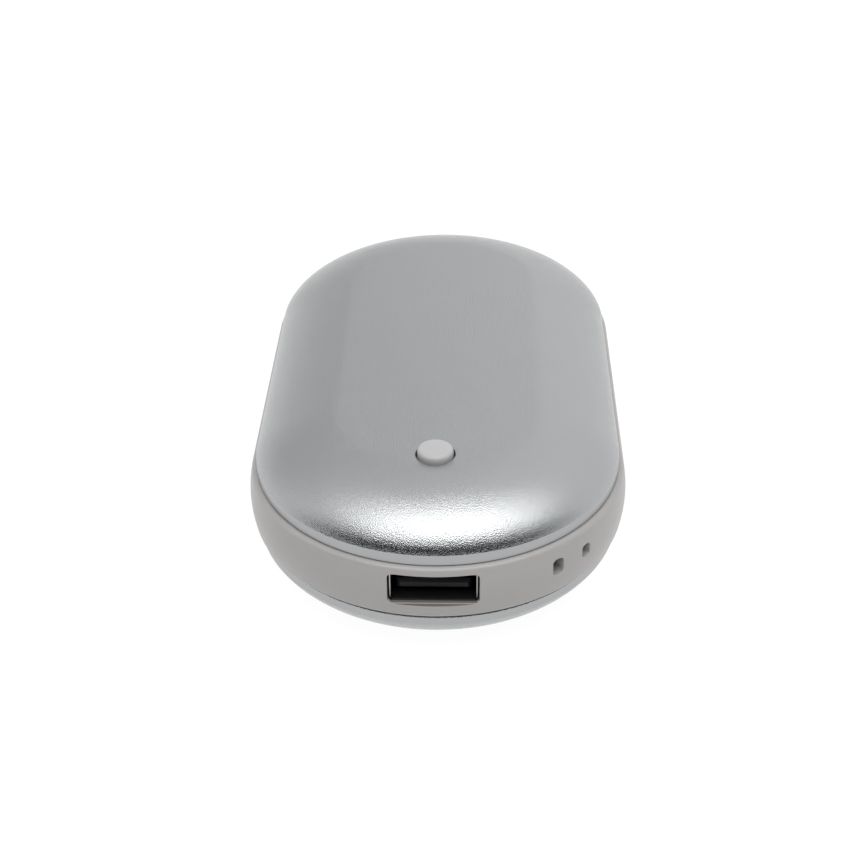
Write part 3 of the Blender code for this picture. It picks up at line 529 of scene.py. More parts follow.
def shape_with(made, tool, operation="DIFFERENCE"):
    """Cut a tool out of a piece, or join it on, and drop the tool."""
    step = made.modifiers.new("shape", "BOOLEAN")
    step.operation = operation
    step.solver = "MANIFOLD"
    step.object = tool
    before = len(made.data.polygons)
    plain_mesh(made)
    print(made.name, before, "to", len(made.data.polygons), "faces with", tool.name)
    bpy.data.objects.remove(tool)
    return made


def rounded_rectangle(width, height, corner):
    """Outline of a rectangle with round corners, counter-clockwise."""
    points = []
    for quarter, (side_x, side_y) in enumerate(((1, 1), (-1, 1), (-1, -1), (1, -1))):
        for step in range(CORNER_STEPS + 1):
            angle = math.pi / 2 * (quarter + step / CORNER_STEPS)
            points.append((side_x * (width / 2 - corner) + corner * math.cos(angle),
                           side_y * (height / 2 - corner) + corner * math.sin(angle)))
    return points


def turned(name, stack, steps, finish):
    """Round piece on the button's axis from a stack of (radius, height)."""
    rows = []
    for radius, height in stack:
        angles = [math.tau * k / steps for k in range(steps)]
        rows.append([(radius * math.cos(a), radius * math.sin(a) + BUTTON_Y, height) for a in angles])
    return skin(name, rows, finish)


print("edges stay sharp above", round(math.degrees(SHARP_TURN)), "degrees")


# %% [markdown]
# ## The aluminium shells
#
# Each shell is a shallow cup. From its trimmed edge a short lip stands upright, then the metal breaks at a
# crease and rolls over in one soft curve to the flat face. The curve is a superellipse that starts a little
# past upright, which is why the crease catches a dark line under the highlight. Rows of the flat face narrow
# towards the middle, where strips close it.

# %% Section of a shell
SHELL_TOP = HEIGHT / 2
SEAM_ABOVE = 0.12 * MM
SEAM_BELOW = 0.5 * MM
CURVE_ROWS = 44
CREASE_SHARE = 0.13
LIP_EDGE = 0.1 * MM
FLAT_MARGIN = 0.8 * MM
FLAT_SHARES = (0.98, 0.85, 0.7, 0.6)


def curve_points(start_inset, low, top):
    """Soft edge from the crease to the flat as (inset, height)."""
    points = []
    start = math.asin(CREASE_SHARE ** (CURVE_POWER / 2))
    first_run = 1 - math.cos(start) ** (2 / CURVE_POWER)
    for row in range(CURVE_ROWS + 1):
        angle = start + (math.pi / 2 - start) * row / CURVE_ROWS
        run = (1 - math.cos(angle) ** (2 / CURVE_POWER) - first_run) / (1 - first_run)
        rise = (math.sin(angle) ** (2 / CURVE_POWER) - CREASE_SHARE) / (1 - CREASE_SHARE)
        points.append((start_inset + (FLAT_INSET - start_inset) * run, low + (top - low) * rise))
    return points


def shell_section(side):
    """Walk from near the middle of the outer face, over the lip, to near the middle of the inner face."""
    edge = LIP_EDGE
    bottom = RING_HALF + (SEAM_ABOVE if side > 0 else SEAM_BELOW)
    inside = LEDGE + SHELL_WALL
    outer = curve_points(LEDGE, CREASE, SHELL_TOP)
    inner = curve_points(inside, CREASE, SHELL_TOP - SHELL_WALL)
    flats = [HALF_WIDTH * share for share in FLAT_SHARES] + [FLAT_INSET + FLAT_MARGIN]
    walk = [(inset, SHELL_TOP) for inset in flats] + outer[::-1]
    walk += [(LEDGE, (CREASE + bottom) / 2), (LEDGE, bottom + edge)]
    walk += [(LEDGE + edge * 0.3, bottom + edge * 0.3), (LEDGE + edge, bottom)]
    walk += [(inside - edge, bottom), (inside, bottom + edge)]
    walk += inner + [(inset, SHELL_TOP - SHELL_WALL) for inset in reversed(flats)]
    return [(inset, MID_Z + side * height) for inset, height in walk]


# %% Make both shells
HOLE_RADIUS = 2.98 * MM
HOLE_ROLL = 0.18 * MM
ROLL_STEPS = 4
HOLE_STEPS = 96
UPRIGHT = 0.05


def paint_lip(made, side):
    """Give the lip between seam and crease the burnished finish."""
    made.data.materials.append(BURNISHED)
    for face in made.data.polygons:
        height = side * (face.center.z - MID_Z)
        if height < CREASE and abs(face.normal.z) < UPRIGHT:
            face.material_index = 1


def shell(name, side):
    made = sweep_section(name, shell_section(side), False, BLASTED)
    close_and_shade(made, fill=True)
    paint_lip(made, side)
    return made


def button_hole_cutter():
    """Round cutter whose top flares, so that the hole gets a rolled rim."""
    wide = HOLE_RADIUS + HOLE_ROLL
    stack = [(wide, HEIGHT + 1 * MM), (wide, HEIGHT + CUT_OVERLAP)]
    for step in range(1, ROLL_STEPS + 1):
        angle = math.pi / 2 * step / ROLL_STEPS
        stack.append((wide - HOLE_ROLL * math.sin(angle), HEIGHT - HOLE_ROLL * (1 - math.cos(angle))))
    stack.append((HOLE_RADIUS, HEIGHT - 3 * MM))
    return turned("hole_cutter", stack, HOLE_STEPS, BLASTED)


top_shell = shape_with(shell("upper_shell", 1), button_hole_cutter())
close_and_shade(top_shell)
bottom_shell = shell("lower_shell", -1)
for made, node in ((top_shell, "top_shell"), (bottom_shell, "bottom_shell")):
    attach(made, "housing")
    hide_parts(node)
    print(made.name, len(made.data.polygons), "faces")

# %% [markdown]
# ## The plastic ring
#
# The ring is one injection moulding. Its outside is slightly crowned, and it turns in at a round shoulder
# below each shell. The same sweep makes it. The port, the charging hole and the two lanyard slots are then
# cut with tools that flare at the surface, so that each hole gets the small soft rim a moulding has.

# %% Section of the ring
SECTION_STEPS = 12


def crown(height):
    """How far the outside of the ring has drawn in at a height from the mid-plane."""
    straight = RING_HALF - RING_SHOULDER
    if abs(height) <= straight:
        return RING_CROWN * (height / straight) ** 2
    reach = min(1, (abs(height) - straight) / RING_SHOULDER)
    return RING_CROWN + RING_SHOULDER * (1 - math.sqrt(1 - reach ** 2))


def ring_section():
    straight = RING_HALF - RING_SHOULDER
    heights = [straight * k / SECTION_STEPS for k in range(SECTION_STEPS + 1)]
    half = [(crown(height), height) for height in heights]
    for step in range(1, SECTION_STEPS + 1):
        angle = math.pi / 2 * step / SECTION_STEPS
        inset = RING_CROWN + RING_SHOULDER * (1 - math.cos(angle))
        half.append((inset, straight + RING_SHOULDER * math.sin(angle)))
    lower = [(inset, -height) for inset, height in reversed(half[1:])]
    walk = lower + half + [(RING_WALL, RING_HALF), (RING_WALL, -RING_HALF)]
    return [(inset, MID_Z + height) for inset, height in walk]


# %% Tools that cut a soft-rimmed hole
RIM_STEPS = 5
ARC_TOOL_STEPS = 24


def mouth_cutter(width, height, corner, rim, depth, angle=0.0, centre_y=-END_CENTRE):
    """Cutter that follows the curved wall at an angle from the front, flared at the surface."""
    outward = Vector((math.sin(angle), -math.cos(angle), 0))
    sideways = Vector((math.cos(angle), math.sin(angle), 0))
    centre = Vector((0, centre_y, 0))
    stops = [(-0.03 * MM, rim + CUT_OVERLAP)]
    for step in range(1, RIM_STEPS + 1):
        turn = math.pi / 2 * step / RIM_STEPS
        stops.append((rim * (1 - math.cos(turn)), rim * (1 - math.sin(turn))))

    def row(flare, reach_at):
        outline = rounded_rectangle(width + 2 * flare, height + 2 * flare, corner + flare)
        points = [(centre + sideways * x + outward * reach_at(x, up), PORT_Z + up) for x, up in outline]
        return [(point.x, point.y, z) for point, z in points]

    def surface(deep):
        return lambda x, up: math.sqrt((HALF_WIDTH - crown(PORT_Z + up - MID_Z)) ** 2 - x ** 2) - deep

    rows = [row(rim + CUT_OVERLAP, lambda x, up: HALF_WIDTH + 2 * MM)]
    rows += [row(flare, surface(deep)) for deep, flare in stops]
    rows.append(row(0, lambda x, up: HALF_WIDTH - depth - 1 * MM))
    return skin("mouth_cutter", rows, RING_PLASTIC)


def box_tool(low, high):
    corners = ((low[0], low[1]), (high[0], low[1]), (high[0], high[1]), (low[0], high[1]))
    rows = [[(x, y, z) for x, y in corners] for z in (low[2], high[2])]
    return skin("box_tool", rows, RING_PLASTIC)


def arc_tool(inner, outer, start, end, low, high):
    """Curved block round the front end's centre."""
    angles = [start + (end - start) * k / ARC_TOOL_STEPS for k in range(ARC_TOOL_STEPS + 1)]
    around = [(outer, a) for a in angles] + [(inner, a) for a in reversed(angles)]
    flat = [(r * math.sin(a), -END_CENTRE - r * math.cos(a)) for r, a in around]
    return skin("arc_tool", [[(x, y, z) for x, y in flat] for z in (low, high)], RING_PLASTIC)


# %% Make the ring
SLOT_FIRST = 19.9 * MM / HALF_WIDTH
SLOT_LAST = SLOT_FIRST + 6 * MM / HALF_WIDTH
SLOT_HALF = 1 * MM / HALF_WIDTH
SLOT_HEIGHT = 2.8 * MM
TUNNEL_DEPTH = 2.2 * MM
TUNNEL_WALL = 1 * MM
SOCKET_WIDTH = 13.1 * MM
SOCKET_HEIGHT = 5.72 * MM
PORT_WALL = 1.4 * MM
THROUGH_SLOT = RING_WALL + 0.6 * MM
THROUGH_WALL = RING_WALL + 1 * MM


def lanyard_tunnel(made):
    """Join a curved box on behind the two slots, and hollow it out."""
    inside = HALF_WIDTH - RING_WALL
    floor = inside - TUNNEL_DEPTH
    low, high = PORT_Z - SLOT_HEIGHT / 2, PORT_Z + SLOT_HEIGHT / 2
    start, end = SLOT_FIRST - SLOT_HALF, SLOT_LAST + SLOT_HALF
    rim = TUNNEL_WALL / HALF_WIDTH
    shape_with(made, arc_tool(floor - TUNNEL_WALL, inside + RING_WALL / 2, start - rim, end + rim,
                              low - TUNNEL_WALL, high + TUNNEL_WALL), "UNION")
    shape_with(made, arc_tool(floor, inside, start, end, low, high))


def port_openings(made):
    """Cut the slots, the wide port with the room for its socket, and the inlet."""
    shape_with(made, mouth_cutter(2 * MM, SLOT_HEIGHT, 0.7 * MM, 0.12 * MM, THROUGH_SLOT, SLOT_FIRST))
    shape_with(made, mouth_cutter(1.75 * MM, 2.15 * MM, 0.65 * MM, 0.2 * MM, THROUGH_SLOT, SLOT_LAST))
    shape_with(made, mouth_cutter(13.5 * MM, 5 * MM, 0.6 * MM, 0.1 * MM, THROUGH_WALL))
    across, up = SOCKET_WIDTH / 2 + GAP, SOCKET_HEIGHT / 2 + GAP
    shape_with(made, box_tool((-across, -HALF_LENGTH + PORT_WALL, PORT_Z - up),
                              (across, -HALF_LENGTH + 5 * MM, PORT_Z + up)))
    inlet_hole = mouth_cutter(8.1 * MM, 3.1 * MM, 0.625 * MM, 0.2 * MM, THROUGH_WALL, math.pi, END_CENTRE)
    shape_with(made, inlet_hole)


def in_port_floor(face):
    """Is this a face of the lower wall inside the port hole?"""
    place = face.center
    across = abs(place.x) < 6.8 * MM
    along = -HALF_LENGTH < place.y < -HALF_LENGTH + 3 * MM
    return across and along and face.normal.z > 0.9 and PORT_Z - 2.7 * MM < place.z < PORT_Z - 2.4 * MM


def plastic_ring():
    made = close_and_shade(sweep_section("plastic_ring", ring_section(), True, RING_PLASTIC))
    lanyard_tunnel(made)
    port_openings(made)
    close_and_shade(made)
    # The lower wall inside the port hole gets the dark brown plastic as painted shade.
    made.data.materials.append(PORT_WALL_SHADE)
    for face in made.data.polygons:
        if in_port_floor(face):
            face.material_index = len(made.data.materials) - 1
    return made


ring = plastic_ring()
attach(ring, "housing")
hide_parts("mid_frame")
print("ring", len(ring.data.polygons), "faces")

# %% [markdown]
# ## The wide port
#
# The socket is a stamped steel tube behind the port hole, and its cut edge catches the light at both ends
# of the hole. Inside hangs a black tongue whose front edges are bevelled. Both are skinned from rounded
# outlines, one row for each step of an edge, which is the plain way to give a tube a rolled lip.

# %% Helpers for tubes along Y


def outline_at(y, width, height, corner, centre_z=PORT_Z):
    return [(x, y, centre_z + z) for x, z in rounded_rectangle(width, height, corner)]


def rolled_mouth(wall, steps=4):
    """(depth, inset) round the half-circle edge of a wall, from its outside to its inside."""
    stops = []
    for step in range(steps + 1):
        angle = math.pi / 2 * step / steps
        stops.append((wall / 2 * (1 - math.sin(angle)), wall / 2 * (1 - math.cos(angle))))
    for step in range(1, steps + 1):
        angle = math.pi / 2 * step / steps
        stops.append((wall / 2 * (1 - math.cos(angle)), wall / 2 + wall / 2 * math.sin(angle)))
    return stops


# %% Make the socket and its tongue
SOCKET_FRONT = PORT_WALL + GAP - HALF_LENGTH
SOCKET_REAR = SOCKET_FRONT + 13.2 * MM
SOCKET_WALL = 0.3 * MM
SOCKET_CORNER = 0.6 * MM


def socket_rows():
    """Outlines from the outside's rear, over the rounded mouth edge, to the inside's rear."""
    stops = [(SOCKET_REAR, 0.0)]
    stops += [(SOCKET_FRONT + depth, inset) for depth, inset in rolled_mouth(SOCKET_WALL)]
    stops.append((SOCKET_REAR, SOCKET_WALL))
    return [outline_at(y, SOCKET_WIDTH - 2 * inset, SOCKET_HEIGHT - 2 * inset, SOCKET_CORNER - inset)
            for y, inset in stops]


def in_shade(face):
    """Is this face inside the socket, or on the lower edge of its mouth?"""
    across, up = abs(face.center.x), face.center.z - PORT_Z
    if face.center.y <= SOCKET_FRONT + SOCKET_WALL:
        return up < 2 * SOCKET_WALL - SOCKET_HEIGHT / 2
    reach = 0.05 * MM - SOCKET_WALL
    return abs(up) < SOCKET_HEIGHT / 2 + reach and across < SOCKET_WIDTH / 2 + reach


socket = skin("port_socket", socket_rows(), PORT_STEEL, hollow=True)
# Faces inside the socket and on the lower edge of its mouth take the near-black steel as painted shade.
socket.data.materials.append(SHADED_STEEL)
for face in socket.data.polygons:
    if in_shade(face):
        face.material_index = 1
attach(socket, "housing")
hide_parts("usb_a_shell")


def port_tongue():
    """Blade with a bevelled nose, on a block that fills the rear of the socket."""
    low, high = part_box("usb_a_tongue")
    front, rear = low[1], high[1]
    width, thick, middle = 11.1 * MM, 1.84 * MM, PORT_Z - 0.97 * MM
    bevel = ((0, 1.0, 1.14, 0.1), (0.06, 0.86, 0.98, 0.12), (0.48, 0.1, 0.1, 0.14), (0.58, 0, 0, 0.16))
    rows = [outline_at(front + back * MM, width - narrow * MM, thick - thin * MM, corner * MM, middle)
            for back, narrow, thin, corner in bevel]
    rows.append(outline_at(rear - 3.01 * MM, width, thick, 0.16 * MM, middle))
    rows += [outline_at(y, high[0] - low[0], high[2] - low[2], 0.2 * MM) for y in (rear - 3 * MM, rear)]
    return skin("port_tongue", rows, BLACK_NYLON)


tongue = port_tongue()
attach(tongue, "housing")
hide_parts("usb_a_tongue")
print("socket and tongue:", len(socket.data.polygons), len(tongue.data.polygons), "faces")

# %% [markdown]
# ## The push button
#
# The button is a small moulded cap that stands a millimetre proud of the metal, on a stem with a flange that
# keeps it in. It is turned from one profile, so it is made as circles stacked up its axis, close together
# round each edge.

# %% Make the button
CAP_RADIUS = 2.75 * MM
FLANGE_RADIUS = 3.9 * MM
STEM_RADIUS = 1.5 * MM
FLANGE_THICKNESS = 0.8 * MM
CAP_EDGE = 0.6 * MM
SMALL_EDGE = 0.1 * MM
EDGE_STEPS = 8
CAP_STEPS = 80


def button():
    low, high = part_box("button_cap")
    top, bottom = high[2], low[2]
    flange_top = HEIGHT - SHELL_WALL - GAP
    flange_low = flange_top - FLANGE_THICKNESS
    edge, narrow = SMALL_EDGE, FLANGE_RADIUS - SMALL_EDGE
    stack = [(STEM_RADIUS, bottom), (STEM_RADIUS, flange_low), (narrow, flange_low)]
    stack += [(FLANGE_RADIUS, flange_low + edge), (FLANGE_RADIUS, flange_top - edge), (narrow, flange_top)]
    stack += [(CAP_RADIUS + edge, flange_top), (CAP_RADIUS, flange_top + edge), (CAP_RADIUS, top - CAP_EDGE)]
    for step in range(1, EDGE_STEPS + 1):
        angle = math.pi / 2 * step / EDGE_STEPS
        stack.append((CAP_RADIUS - CAP_EDGE * (1 - math.cos(angle)), top - CAP_EDGE * (1 - math.sin(angle))))
    return turned("push_button", stack, CAP_STEPS, BUTTON_PLASTIC)


cap = button()
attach(cap, "button")
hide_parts("button_cap")

# %% [markdown]
# ## The charging inlet
#
# The inlet at the far end is a small stamped shell whose lower corners are cut off, so that a plug goes in
# one way up only. It is skinned as a hollow tube with a rounded mouth, as the wide port is. The tongue inside
# is a thin black blade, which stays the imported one.

# %% Make the inlet
INLET_CORNER = 0.45 * MM
INLET_WALL = 0.3 * MM
INLET_SLANT = 0.9 * MM
INLET_FALL = 1.1 * MM
CORNER_SHARE = 2.2


def inlet_outline(y, grow):
    """Wide outline with two slanting lower corners, grown evenly by an amount."""
    low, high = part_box("micro_usb_shell")
    right, up = (high[0] - low[0]) / 2 + grow, (high[2] - low[2]) / 2 + grow
    foot, knee = right - INLET_SLANT, INLET_FALL - up
    corners = [(right, up), (-right, up), (-right, knee), (-foot, -up), (foot, -up), (right, knee)]
    middle = (low[2] + high[2]) / 2
    points = []
    for here, corner in enumerate(corners):
        before = Vector(corners[here - 1]) - Vector(corner)
        after = Vector(corners[(here + 1) % len(corners)]) - Vector(corner)
        cut_back = min(INLET_CORNER, before.length / CORNER_SHARE, after.length / CORNER_SHARE)
        start = Vector(corner) + before.normalized() * cut_back
        end = Vector(corner) + after.normalized() * cut_back
        for step in range(CORNER_STEPS + 1):
            share = step / CORNER_STEPS
            point = start * (1 - share) ** 2 + Vector(corner) * 2 * share * (1 - share) + end * share ** 2
            points.append((point.x, y, middle + point.y))
    return points


def inlet_shell():
    low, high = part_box("micro_usb_shell")
    rear, mouth = low[1], high[1]
    stops = [(rear, 0.0)] + [(mouth - depth, -inset) for depth, inset in rolled_mouth(INLET_WALL)]
    stops.append((rear, -INLET_WALL))
    return skin("inlet_shell", [inlet_outline(y, grow) for y, grow in stops], PORT_STEEL, hollow=True)


inlet = inlet_shell()
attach(inlet, "housing")
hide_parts("micro_usb_shell")
print("inlet:", len(inlet.data.polygons), "faces")

# %% [markdown]
# ## Foam pads
#
# Four sheets of grey foam fill the spaces round the cell and behind the heater films. A die cuts them from a
# roll, so they are flat with soft edges and sink a little towards the rim. Each one starts from the packed
# solid: a voxel remesh gives it even faces, smoothing rounds its edges, and the crown thins it outwards.

# %% Finish of the foam
PORE_WIDTH = 0.45 * MM
PORE_DEPTH = 0.12 * MM
# The dark grey is painted shade in the pores; the pale grey is the foam itself.
FOAM_PORE_SHADE = (0.075, 0.075, 0.08)
FOAM_PALE = (0.17, 0.17, 0.18)


def foam():
    """Open grey foam: painted shade darkens its pores, and the walls between them keep the pale grey."""
    finish = Finish("foam", (0.13, 0.13, 0.14), 0.9, specular=0.2)
    pores = finish.cells(PORE_WIDTH)
    lumps = finish.noise(3 * MM)
    finish.bump(pores * 0.8 + lumps * 0.2, 0.9, PORE_DEPTH)
    finish.roughness(pores * 0.1 + 0.85)
    finish.colour(finish.blend(pores, FOAM_PORE_SHADE, FOAM_PALE))
    return finish.material


FOAM = foam()

# %% Make the four pads
PAD_CROWN = 0.14
PAD_HEIGHT_SHARE = 0.95
PAD_SLACK = 0.12 * MM
PAD_VOXELS = {"battery_pad_top": 0.5 * MM, "battery_pad_bottom": 0.5 * MM,
              "top_thermal_pad": 0.33 * MM, "bottom_thermal_pad": 0.33 * MM}


def foam_pad(node, voxel):
    """Soft crowned pad inside a packed pad's space."""
    low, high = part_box(node)
    made = new_object(node.replace("pad", "foam"), bpy.data.objects[node].data.copy())
    step = made.modifiers.new("even_faces", "REMESH")
    step.mode = "VOXEL"
    step.voxel_size = voxel
    soften = made.modifiers.new("soft_edges", "SMOOTH")
    soften.iterations = 5
    plain_mesh(made)
    middle = [(a + b) / 2 for a, b in zip(low, high)]
    half = [(b - a) / 2 for a, b in zip(low, high)]
    for vert in made.data.vertices:
        away = [(vert.co[axis] - middle[axis]) / half[axis] for axis in range(3)]
        rim = max(abs(away[0]), abs(away[1]))
        vert.co.x = middle[0] + away[0] * (half[0] - PAD_SLACK)
        vert.co.y = middle[1] + away[1] * (half[1] - PAD_SLACK)
        vert.co.z = middle[2] + away[2] * half[2] * (PAD_HEIGHT_SHARE - PAD_CROWN * rim ** 4)
    made.data.materials.clear()
    made.data.materials.append(FOAM)
    made.data.shade_smooth()
    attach(made, "housing")
    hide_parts(node)
    return made


for pad_name, voxel_size in PAD_VOXELS.items():
    pad = foam_pad(pad_name, voxel_size)
    print(pad.name, len(pad.data.polygons), "faces")

# %% [markdown]
# ## Finishes of the inside
#
# Nothing in here shows until the shells come off, yet every part keeps its own surface. The pouch is creased
# foil laminate, the heater is an etched track under amber film, the boards have copper under green mask, and
# the rest is plated metal, fired ceramic, ferrite or moulded epoxy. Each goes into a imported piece's slot.

# %% Foil of the cell
CREASE_WIDTH = 6 * MM
CREASE_SCALE = (1, 0.4, 1)


def pouch_foil():
    """Aluminium laminate with long creases along Y."""
    finish = Finish("pouch_foil", (0.60, 0.61, 0.62), 0.38, metallic=0.9)
    creases = finish.noise(CREASE_WIDTH, 4.0, 0.6, finish.stretched(CREASE_SCALE))
    fine = finish.noise(0.4 * MM, 2.0, 0.5)
    finish.bump(creases * 0.85 + fine * 0.15, 0.5, 0.25 * MM)
    finish.roughness(creases * 0.12 + 0.30)
    return finish.material


# %% Film of the heaters
AMBER = (0.52, 0.22, 0.03)
TRACK_BROWN = (0.20, 0.085, 0.02)
TRACK_BANDS = 52.0


def heater_film():
    """Amber film with etched tracks along it."""
    finish = Finish("heater_film", AMBER, 0.3)
    wave = finish.add("ShaderNodeTexWave", {"wave_type": "BANDS", "bands_direction": "X"},
                      {"Vector": finish.place, "Scale": TRACK_BANDS, "Distortion": 0.0})
    track = finish.ramp(Number(finish, wave.outputs["Fac"]), ((0.62, 0.0), (0.70, 1.0)))
    ripple = finish.noise(5 * MM, 2.0, 0.5)
    finish.bump(track * 0.5 + ripple * 0.5, 0.35, 0.08 * MM)
    finish.roughness(ripple * 0.12 + 0.22)
    finish.colour(finish.blend(track, AMBER, TRACK_BROWN))
    return finish.material


# %% Mask of the boards
MASK_GREEN = (0.012, 0.10, 0.045)
MASK_OVER_COPPER = (0.03, 0.19, 0.09)
PATH_SPACING = 1.6 * MM
PATH_SCALE = (1, 0.55, 1)


def board_mask():
    """Green mask, paler where it lies over copper."""
    finish = Finish("board_mask", (0.02, 0.13, 0.06), 0.35)
    paths = finish.cells(PATH_SPACING, finish.stretched(PATH_SCALE), "DISTANCE_TO_EDGE")
    copper = finish.ramp(paths, ((0.05, 1.0), (0.08, 0.0)))
    weave = finish.noise(0.3 * MM, 2.0, 0.5)
    finish.bump(copper * 0.7 + weave * 0.3, 0.3, 0.04 * MM)
    finish.roughness(weave * 0.1 + 0.28)
    finish.colour(finish.blend(copper, MASK_GREEN, MASK_OVER_COPPER))
    return finish.material


print("heater tracks as", TRACK_BANDS, "bands to the metre of the wave pattern")

# %% Put every finish in its slots
INNER_FINISHES = {
    "cell_foil": pouch_foil(),
    "heater_amber": heater_film(),
    "circuit_green": board_mask(),
    "wire_red": moulded_plastic("red_wire_cover", (0.45, 0.02, 0.02), 0.35, 0.2 * MM, 0.15),
    "wire_black": moulded_plastic("black_wire_cover", (0.02, 0.02, 0.022), 0.35, 0.2 * MM, 0.15),
    "carrier_plastic": CARRIER_PLASTIC,
    "black_plastic": BLACK_NYLON,
    "steel": plated_steel("zinc_plated_steel", (0.52, 0.52, 0.51), 0.34),
    "nickel": plated_steel("nickel_strip", (0.60, 0.57, 0.52), 0.30),
    "contact_gold": plated_steel("gold_plate", (0.78, 0.52, 0.18), 0.28),
    "ferrite": moulded_plastic("ferrite_core", (0.07, 0.07, 0.075), 0.75, 0.25 * MM, 0.6),
    "chip_black": moulded_plastic("moulded_epoxy", (0.03, 0.03, 0.032), 0.6, 0.15 * MM, 0.4),
    "ceramic_tan": moulded_plastic("fired_ceramic", (0.50, 0.38, 0.25), 0.5, 0.2 * MM, 0.3),
    "led_lens": moulded_plastic("lens_resin", (0.72, 0.74, 0.70), 0.18, 0.5 * MM, 0.08),
}


def dress_inside():
    """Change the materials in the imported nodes' slots, and count the slots."""
    changed = 0
    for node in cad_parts:
        for place in bpy.data.objects[node].material_slots:
            if place.material and place.material.name in INNER_FINISHES:
                place.material = INNER_FINISHES[place.material.name]
                changed += 1
    return changed


print("inner finishes in", dress_inside(), "slots")

# %% [markdown]
# ## Studio
#
# The photograph is a product shot on white. One soft box hangs above and in front, and its mirror image is
# the bright band on the near edge of the metal. Below it the metal mirrors a dark flag, which draws the dark
# band over the lip. The floor glows white wherever the camera or a mirror looks at it.

# %% Floor and backdrop
FLOOR_HALF = 3.0
FLOOR_GLOW = 1.08
GLOW_SHARE = 0.88


def grey_tone(level):
    return (level, level, level)


def white_floor():
    """White paper that still shows a soft shadow under its glow."""
    finish = Finish("studio_white", grey_tone(0.93), 0.9, specular=0.1)
    grain = finish.noise(40 * MM, 3.0, 0.5)
    finish.colour(finish.blend(grain, grey_tone(0.92), grey_tone(0.94)))
    path = finish.add("ShaderNodeLightPath")
    mirrored = Number(finish, path.outputs["Is Glossy Ray"]).larger(
        Number(finish, path.outputs["Is Transmission Ray"]))
    seen = Number(finish, path.outputs["Is Camera Ray"]).larger(mirrored)
    glow = finish.add("ShaderNodeEmission", None, {"Color": grey_tone(1), "Strength": FLOOR_GLOW})
    mix = finish.add("ShaderNodeMixShader", None, {"Fac": seen * GLOW_SHARE, 1: finish.shader.outputs[0],
                                                   2: glow.outputs[0]})
    ends = [node for node in finish.tree.nodes if node.type == "OUTPUT_MATERIAL"]
    finish.tree.links.new(mix.outputs[0], ends[0].inputs["Surface"])
    return finish.material


def studio_floor():
    bm = bmesh.new()
    bmesh.ops.create_grid(bm, x_segments=1, y_segments=1, size=FLOOR_HALF)
    floor = object_from("studio_floor", bm, white_floor())
    return floor


floor = studio_floor()
print("floor:", [round(side, 2) for side in floor.dimensions])

# %% [markdown]
# ## World and lamp
#
# The world is white where it is looked at, straight or in a mirror, and greyer where it lights the object, so
# that the metal keeps its tone. One broad rectangular lamp does the rest.

# %% World and lamps
WORLD_LIGHT = (0.55, 0.55, 0.56, 1)
AIM_AT = Vector((0, 0, MID_Z))

world = bpy.data.worlds.new("studio")
world.use_nodes = True
bpy.context.scene.world = world
background = world.node_tree.nodes["Background"]
background.inputs["Strength"].default_value = 1.0
paths = world.node_tree.nodes.new("ShaderNodeLightPath")


def world_maximum(first, second):
    made = world.node_tree.nodes.new("ShaderNodeMath")
    made.operation = "MAXIMUM"
    world.node_tree.links.new(first, made.inputs[0])
    world.node_tree.links.new(second, made.inputs[1])
    return made.outputs[0]


mirrored = world_maximum(paths.outputs["Is Glossy Ray"], paths.outputs["Is Transmission Ray"])
lift = world.node_tree.nodes.new("ShaderNodeMix")
lift.data_type = "RGBA"
lift.inputs[6].default_value = WORLD_LIGHT
lift.inputs[7].default_value = (1, 1, 1, 1)
world.node_tree.links.new(world_maximum(paths.outputs["Is Camera Ray"], mirrored), lift.inputs[0])
world.node_tree.links.new(lift.outputs[2], background.inputs["Color"])


def polar(azimuth, elevation, distance):
    """A place seen from the object: azimuth turns from the front to the right, in degrees."""
    turn, rise = math.radians(azimuth), math.radians(elevation)
    flat = math.cos(rise)
    return Vector((math.sin(turn) * flat, -math.cos(turn) * flat, math.sin(rise))) * distance


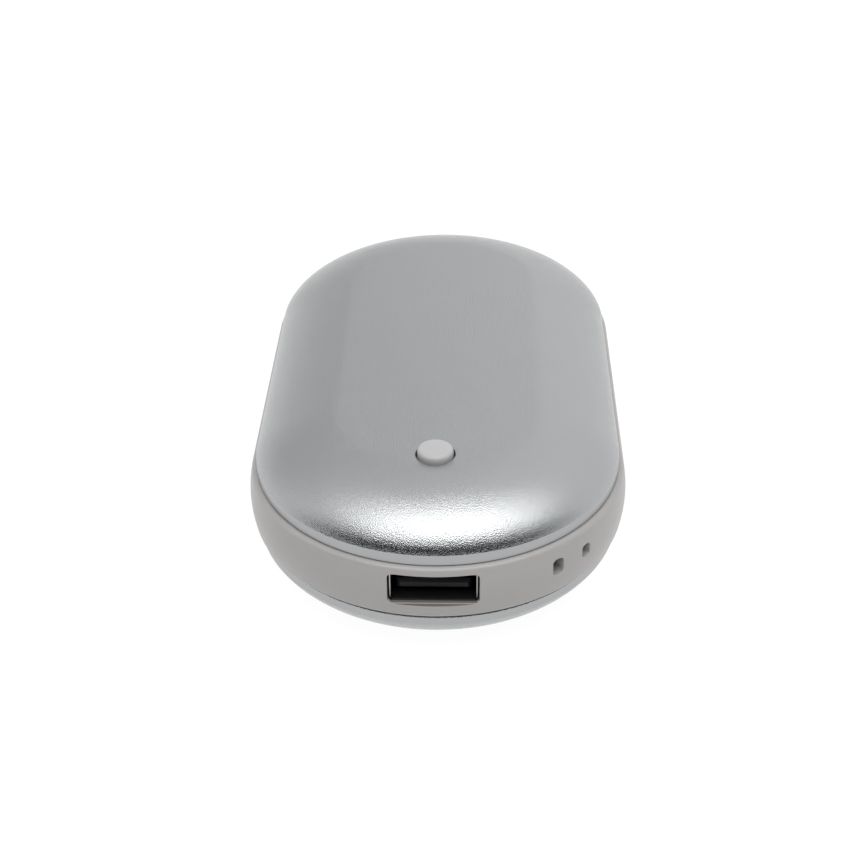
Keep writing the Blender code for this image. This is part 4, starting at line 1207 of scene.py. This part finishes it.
def soft_box(name, azimuth, elevation, distance, width, height, power):
    """Rectangular lamp that faces the object."""
    light = bpy.data.lights.new(name, "AREA")
    light.shape = "RECTANGLE"
    light.size = width
    light.size_y = height
    light.energy = power
    lamp = bpy.data.objects.new(name, light)
    lamp.location = AIM_AT + polar(azimuth, elevation, distance)
    lamp.rotation_euler = (lamp.location - AIM_AT).to_track_quat("Z", "Y").to_euler()
    bpy.context.scene.collection.objects.link(lamp)
    return lamp


overhead_box = soft_box("overhead_box", azimuth=11, elevation=67, distance=1.05, width=1.25, height=0.66,
                        power=7.5)

# %% [markdown]
# ## Cards
#
# A photographer shapes a reflection with cards that the camera can't see. The dark flag stands low in front
# and is tallest in its middle. The grey card stands behind at the left and tones down that side of the flat.

# %% Two cards seen only in the metal
CARD_DISTANCE = 0.9
CARD_TEXTURE = 30 * MM
FLAG_REACH = 75
FLAG_STEPS = 40
FLAG_FOOT = 1.0
FLAG_END = 6
FLAG_RISE = 39


def card(name, columns, grey):
    """Stage piece of one sheet from (azimuth, low, high) columns, hidden from the camera."""
    bm = bmesh.new()
    edges = [[bm.verts.new(polar(azimuth, rise, CARD_DISTANCE)) for rise in (low, high)]
             for azimuth, low, high in columns]
    for near, far in zip(edges, edges[1:]):
        bm.faces.new((near[0], near[1], far[1], far[0]))
    finish = Finish(name + "_paper", grey_tone(grey), 0.9, specular=0.1)
    finish.colour(finish.blend(finish.noise(CARD_TEXTURE), grey_tone(grey * 0.95), grey_tone(grey * 1.05)))
    made = object_from(name, bm, finish.material)
    made.visible_camera = False
    made.visible_shadow = False
    return made


def dark_flag():
    """Low card in front whose top edge is a half ellipse."""
    columns = []
    for step in range(FLAG_STEPS + 1):
        azimuth = -FLAG_REACH + 2 * FLAG_REACH * step / FLAG_STEPS
        fall = 1 - (azimuth / FLAG_REACH) ** 2
        columns.append((azimuth, FLAG_FOOT, FLAG_END + FLAG_RISE * fall ** 0.5))
    return card("flag", columns, 0.03)


flag = dark_flag()
grey = card("grey_card", [(azimuth, 12.0, 62.0) for azimuth in range(-178, -100, 6)], 0.95)
print("cards:", flag.name, grey.name)

# %% Colour view
bpy.context.scene.view_settings.view_transform = "Standard"
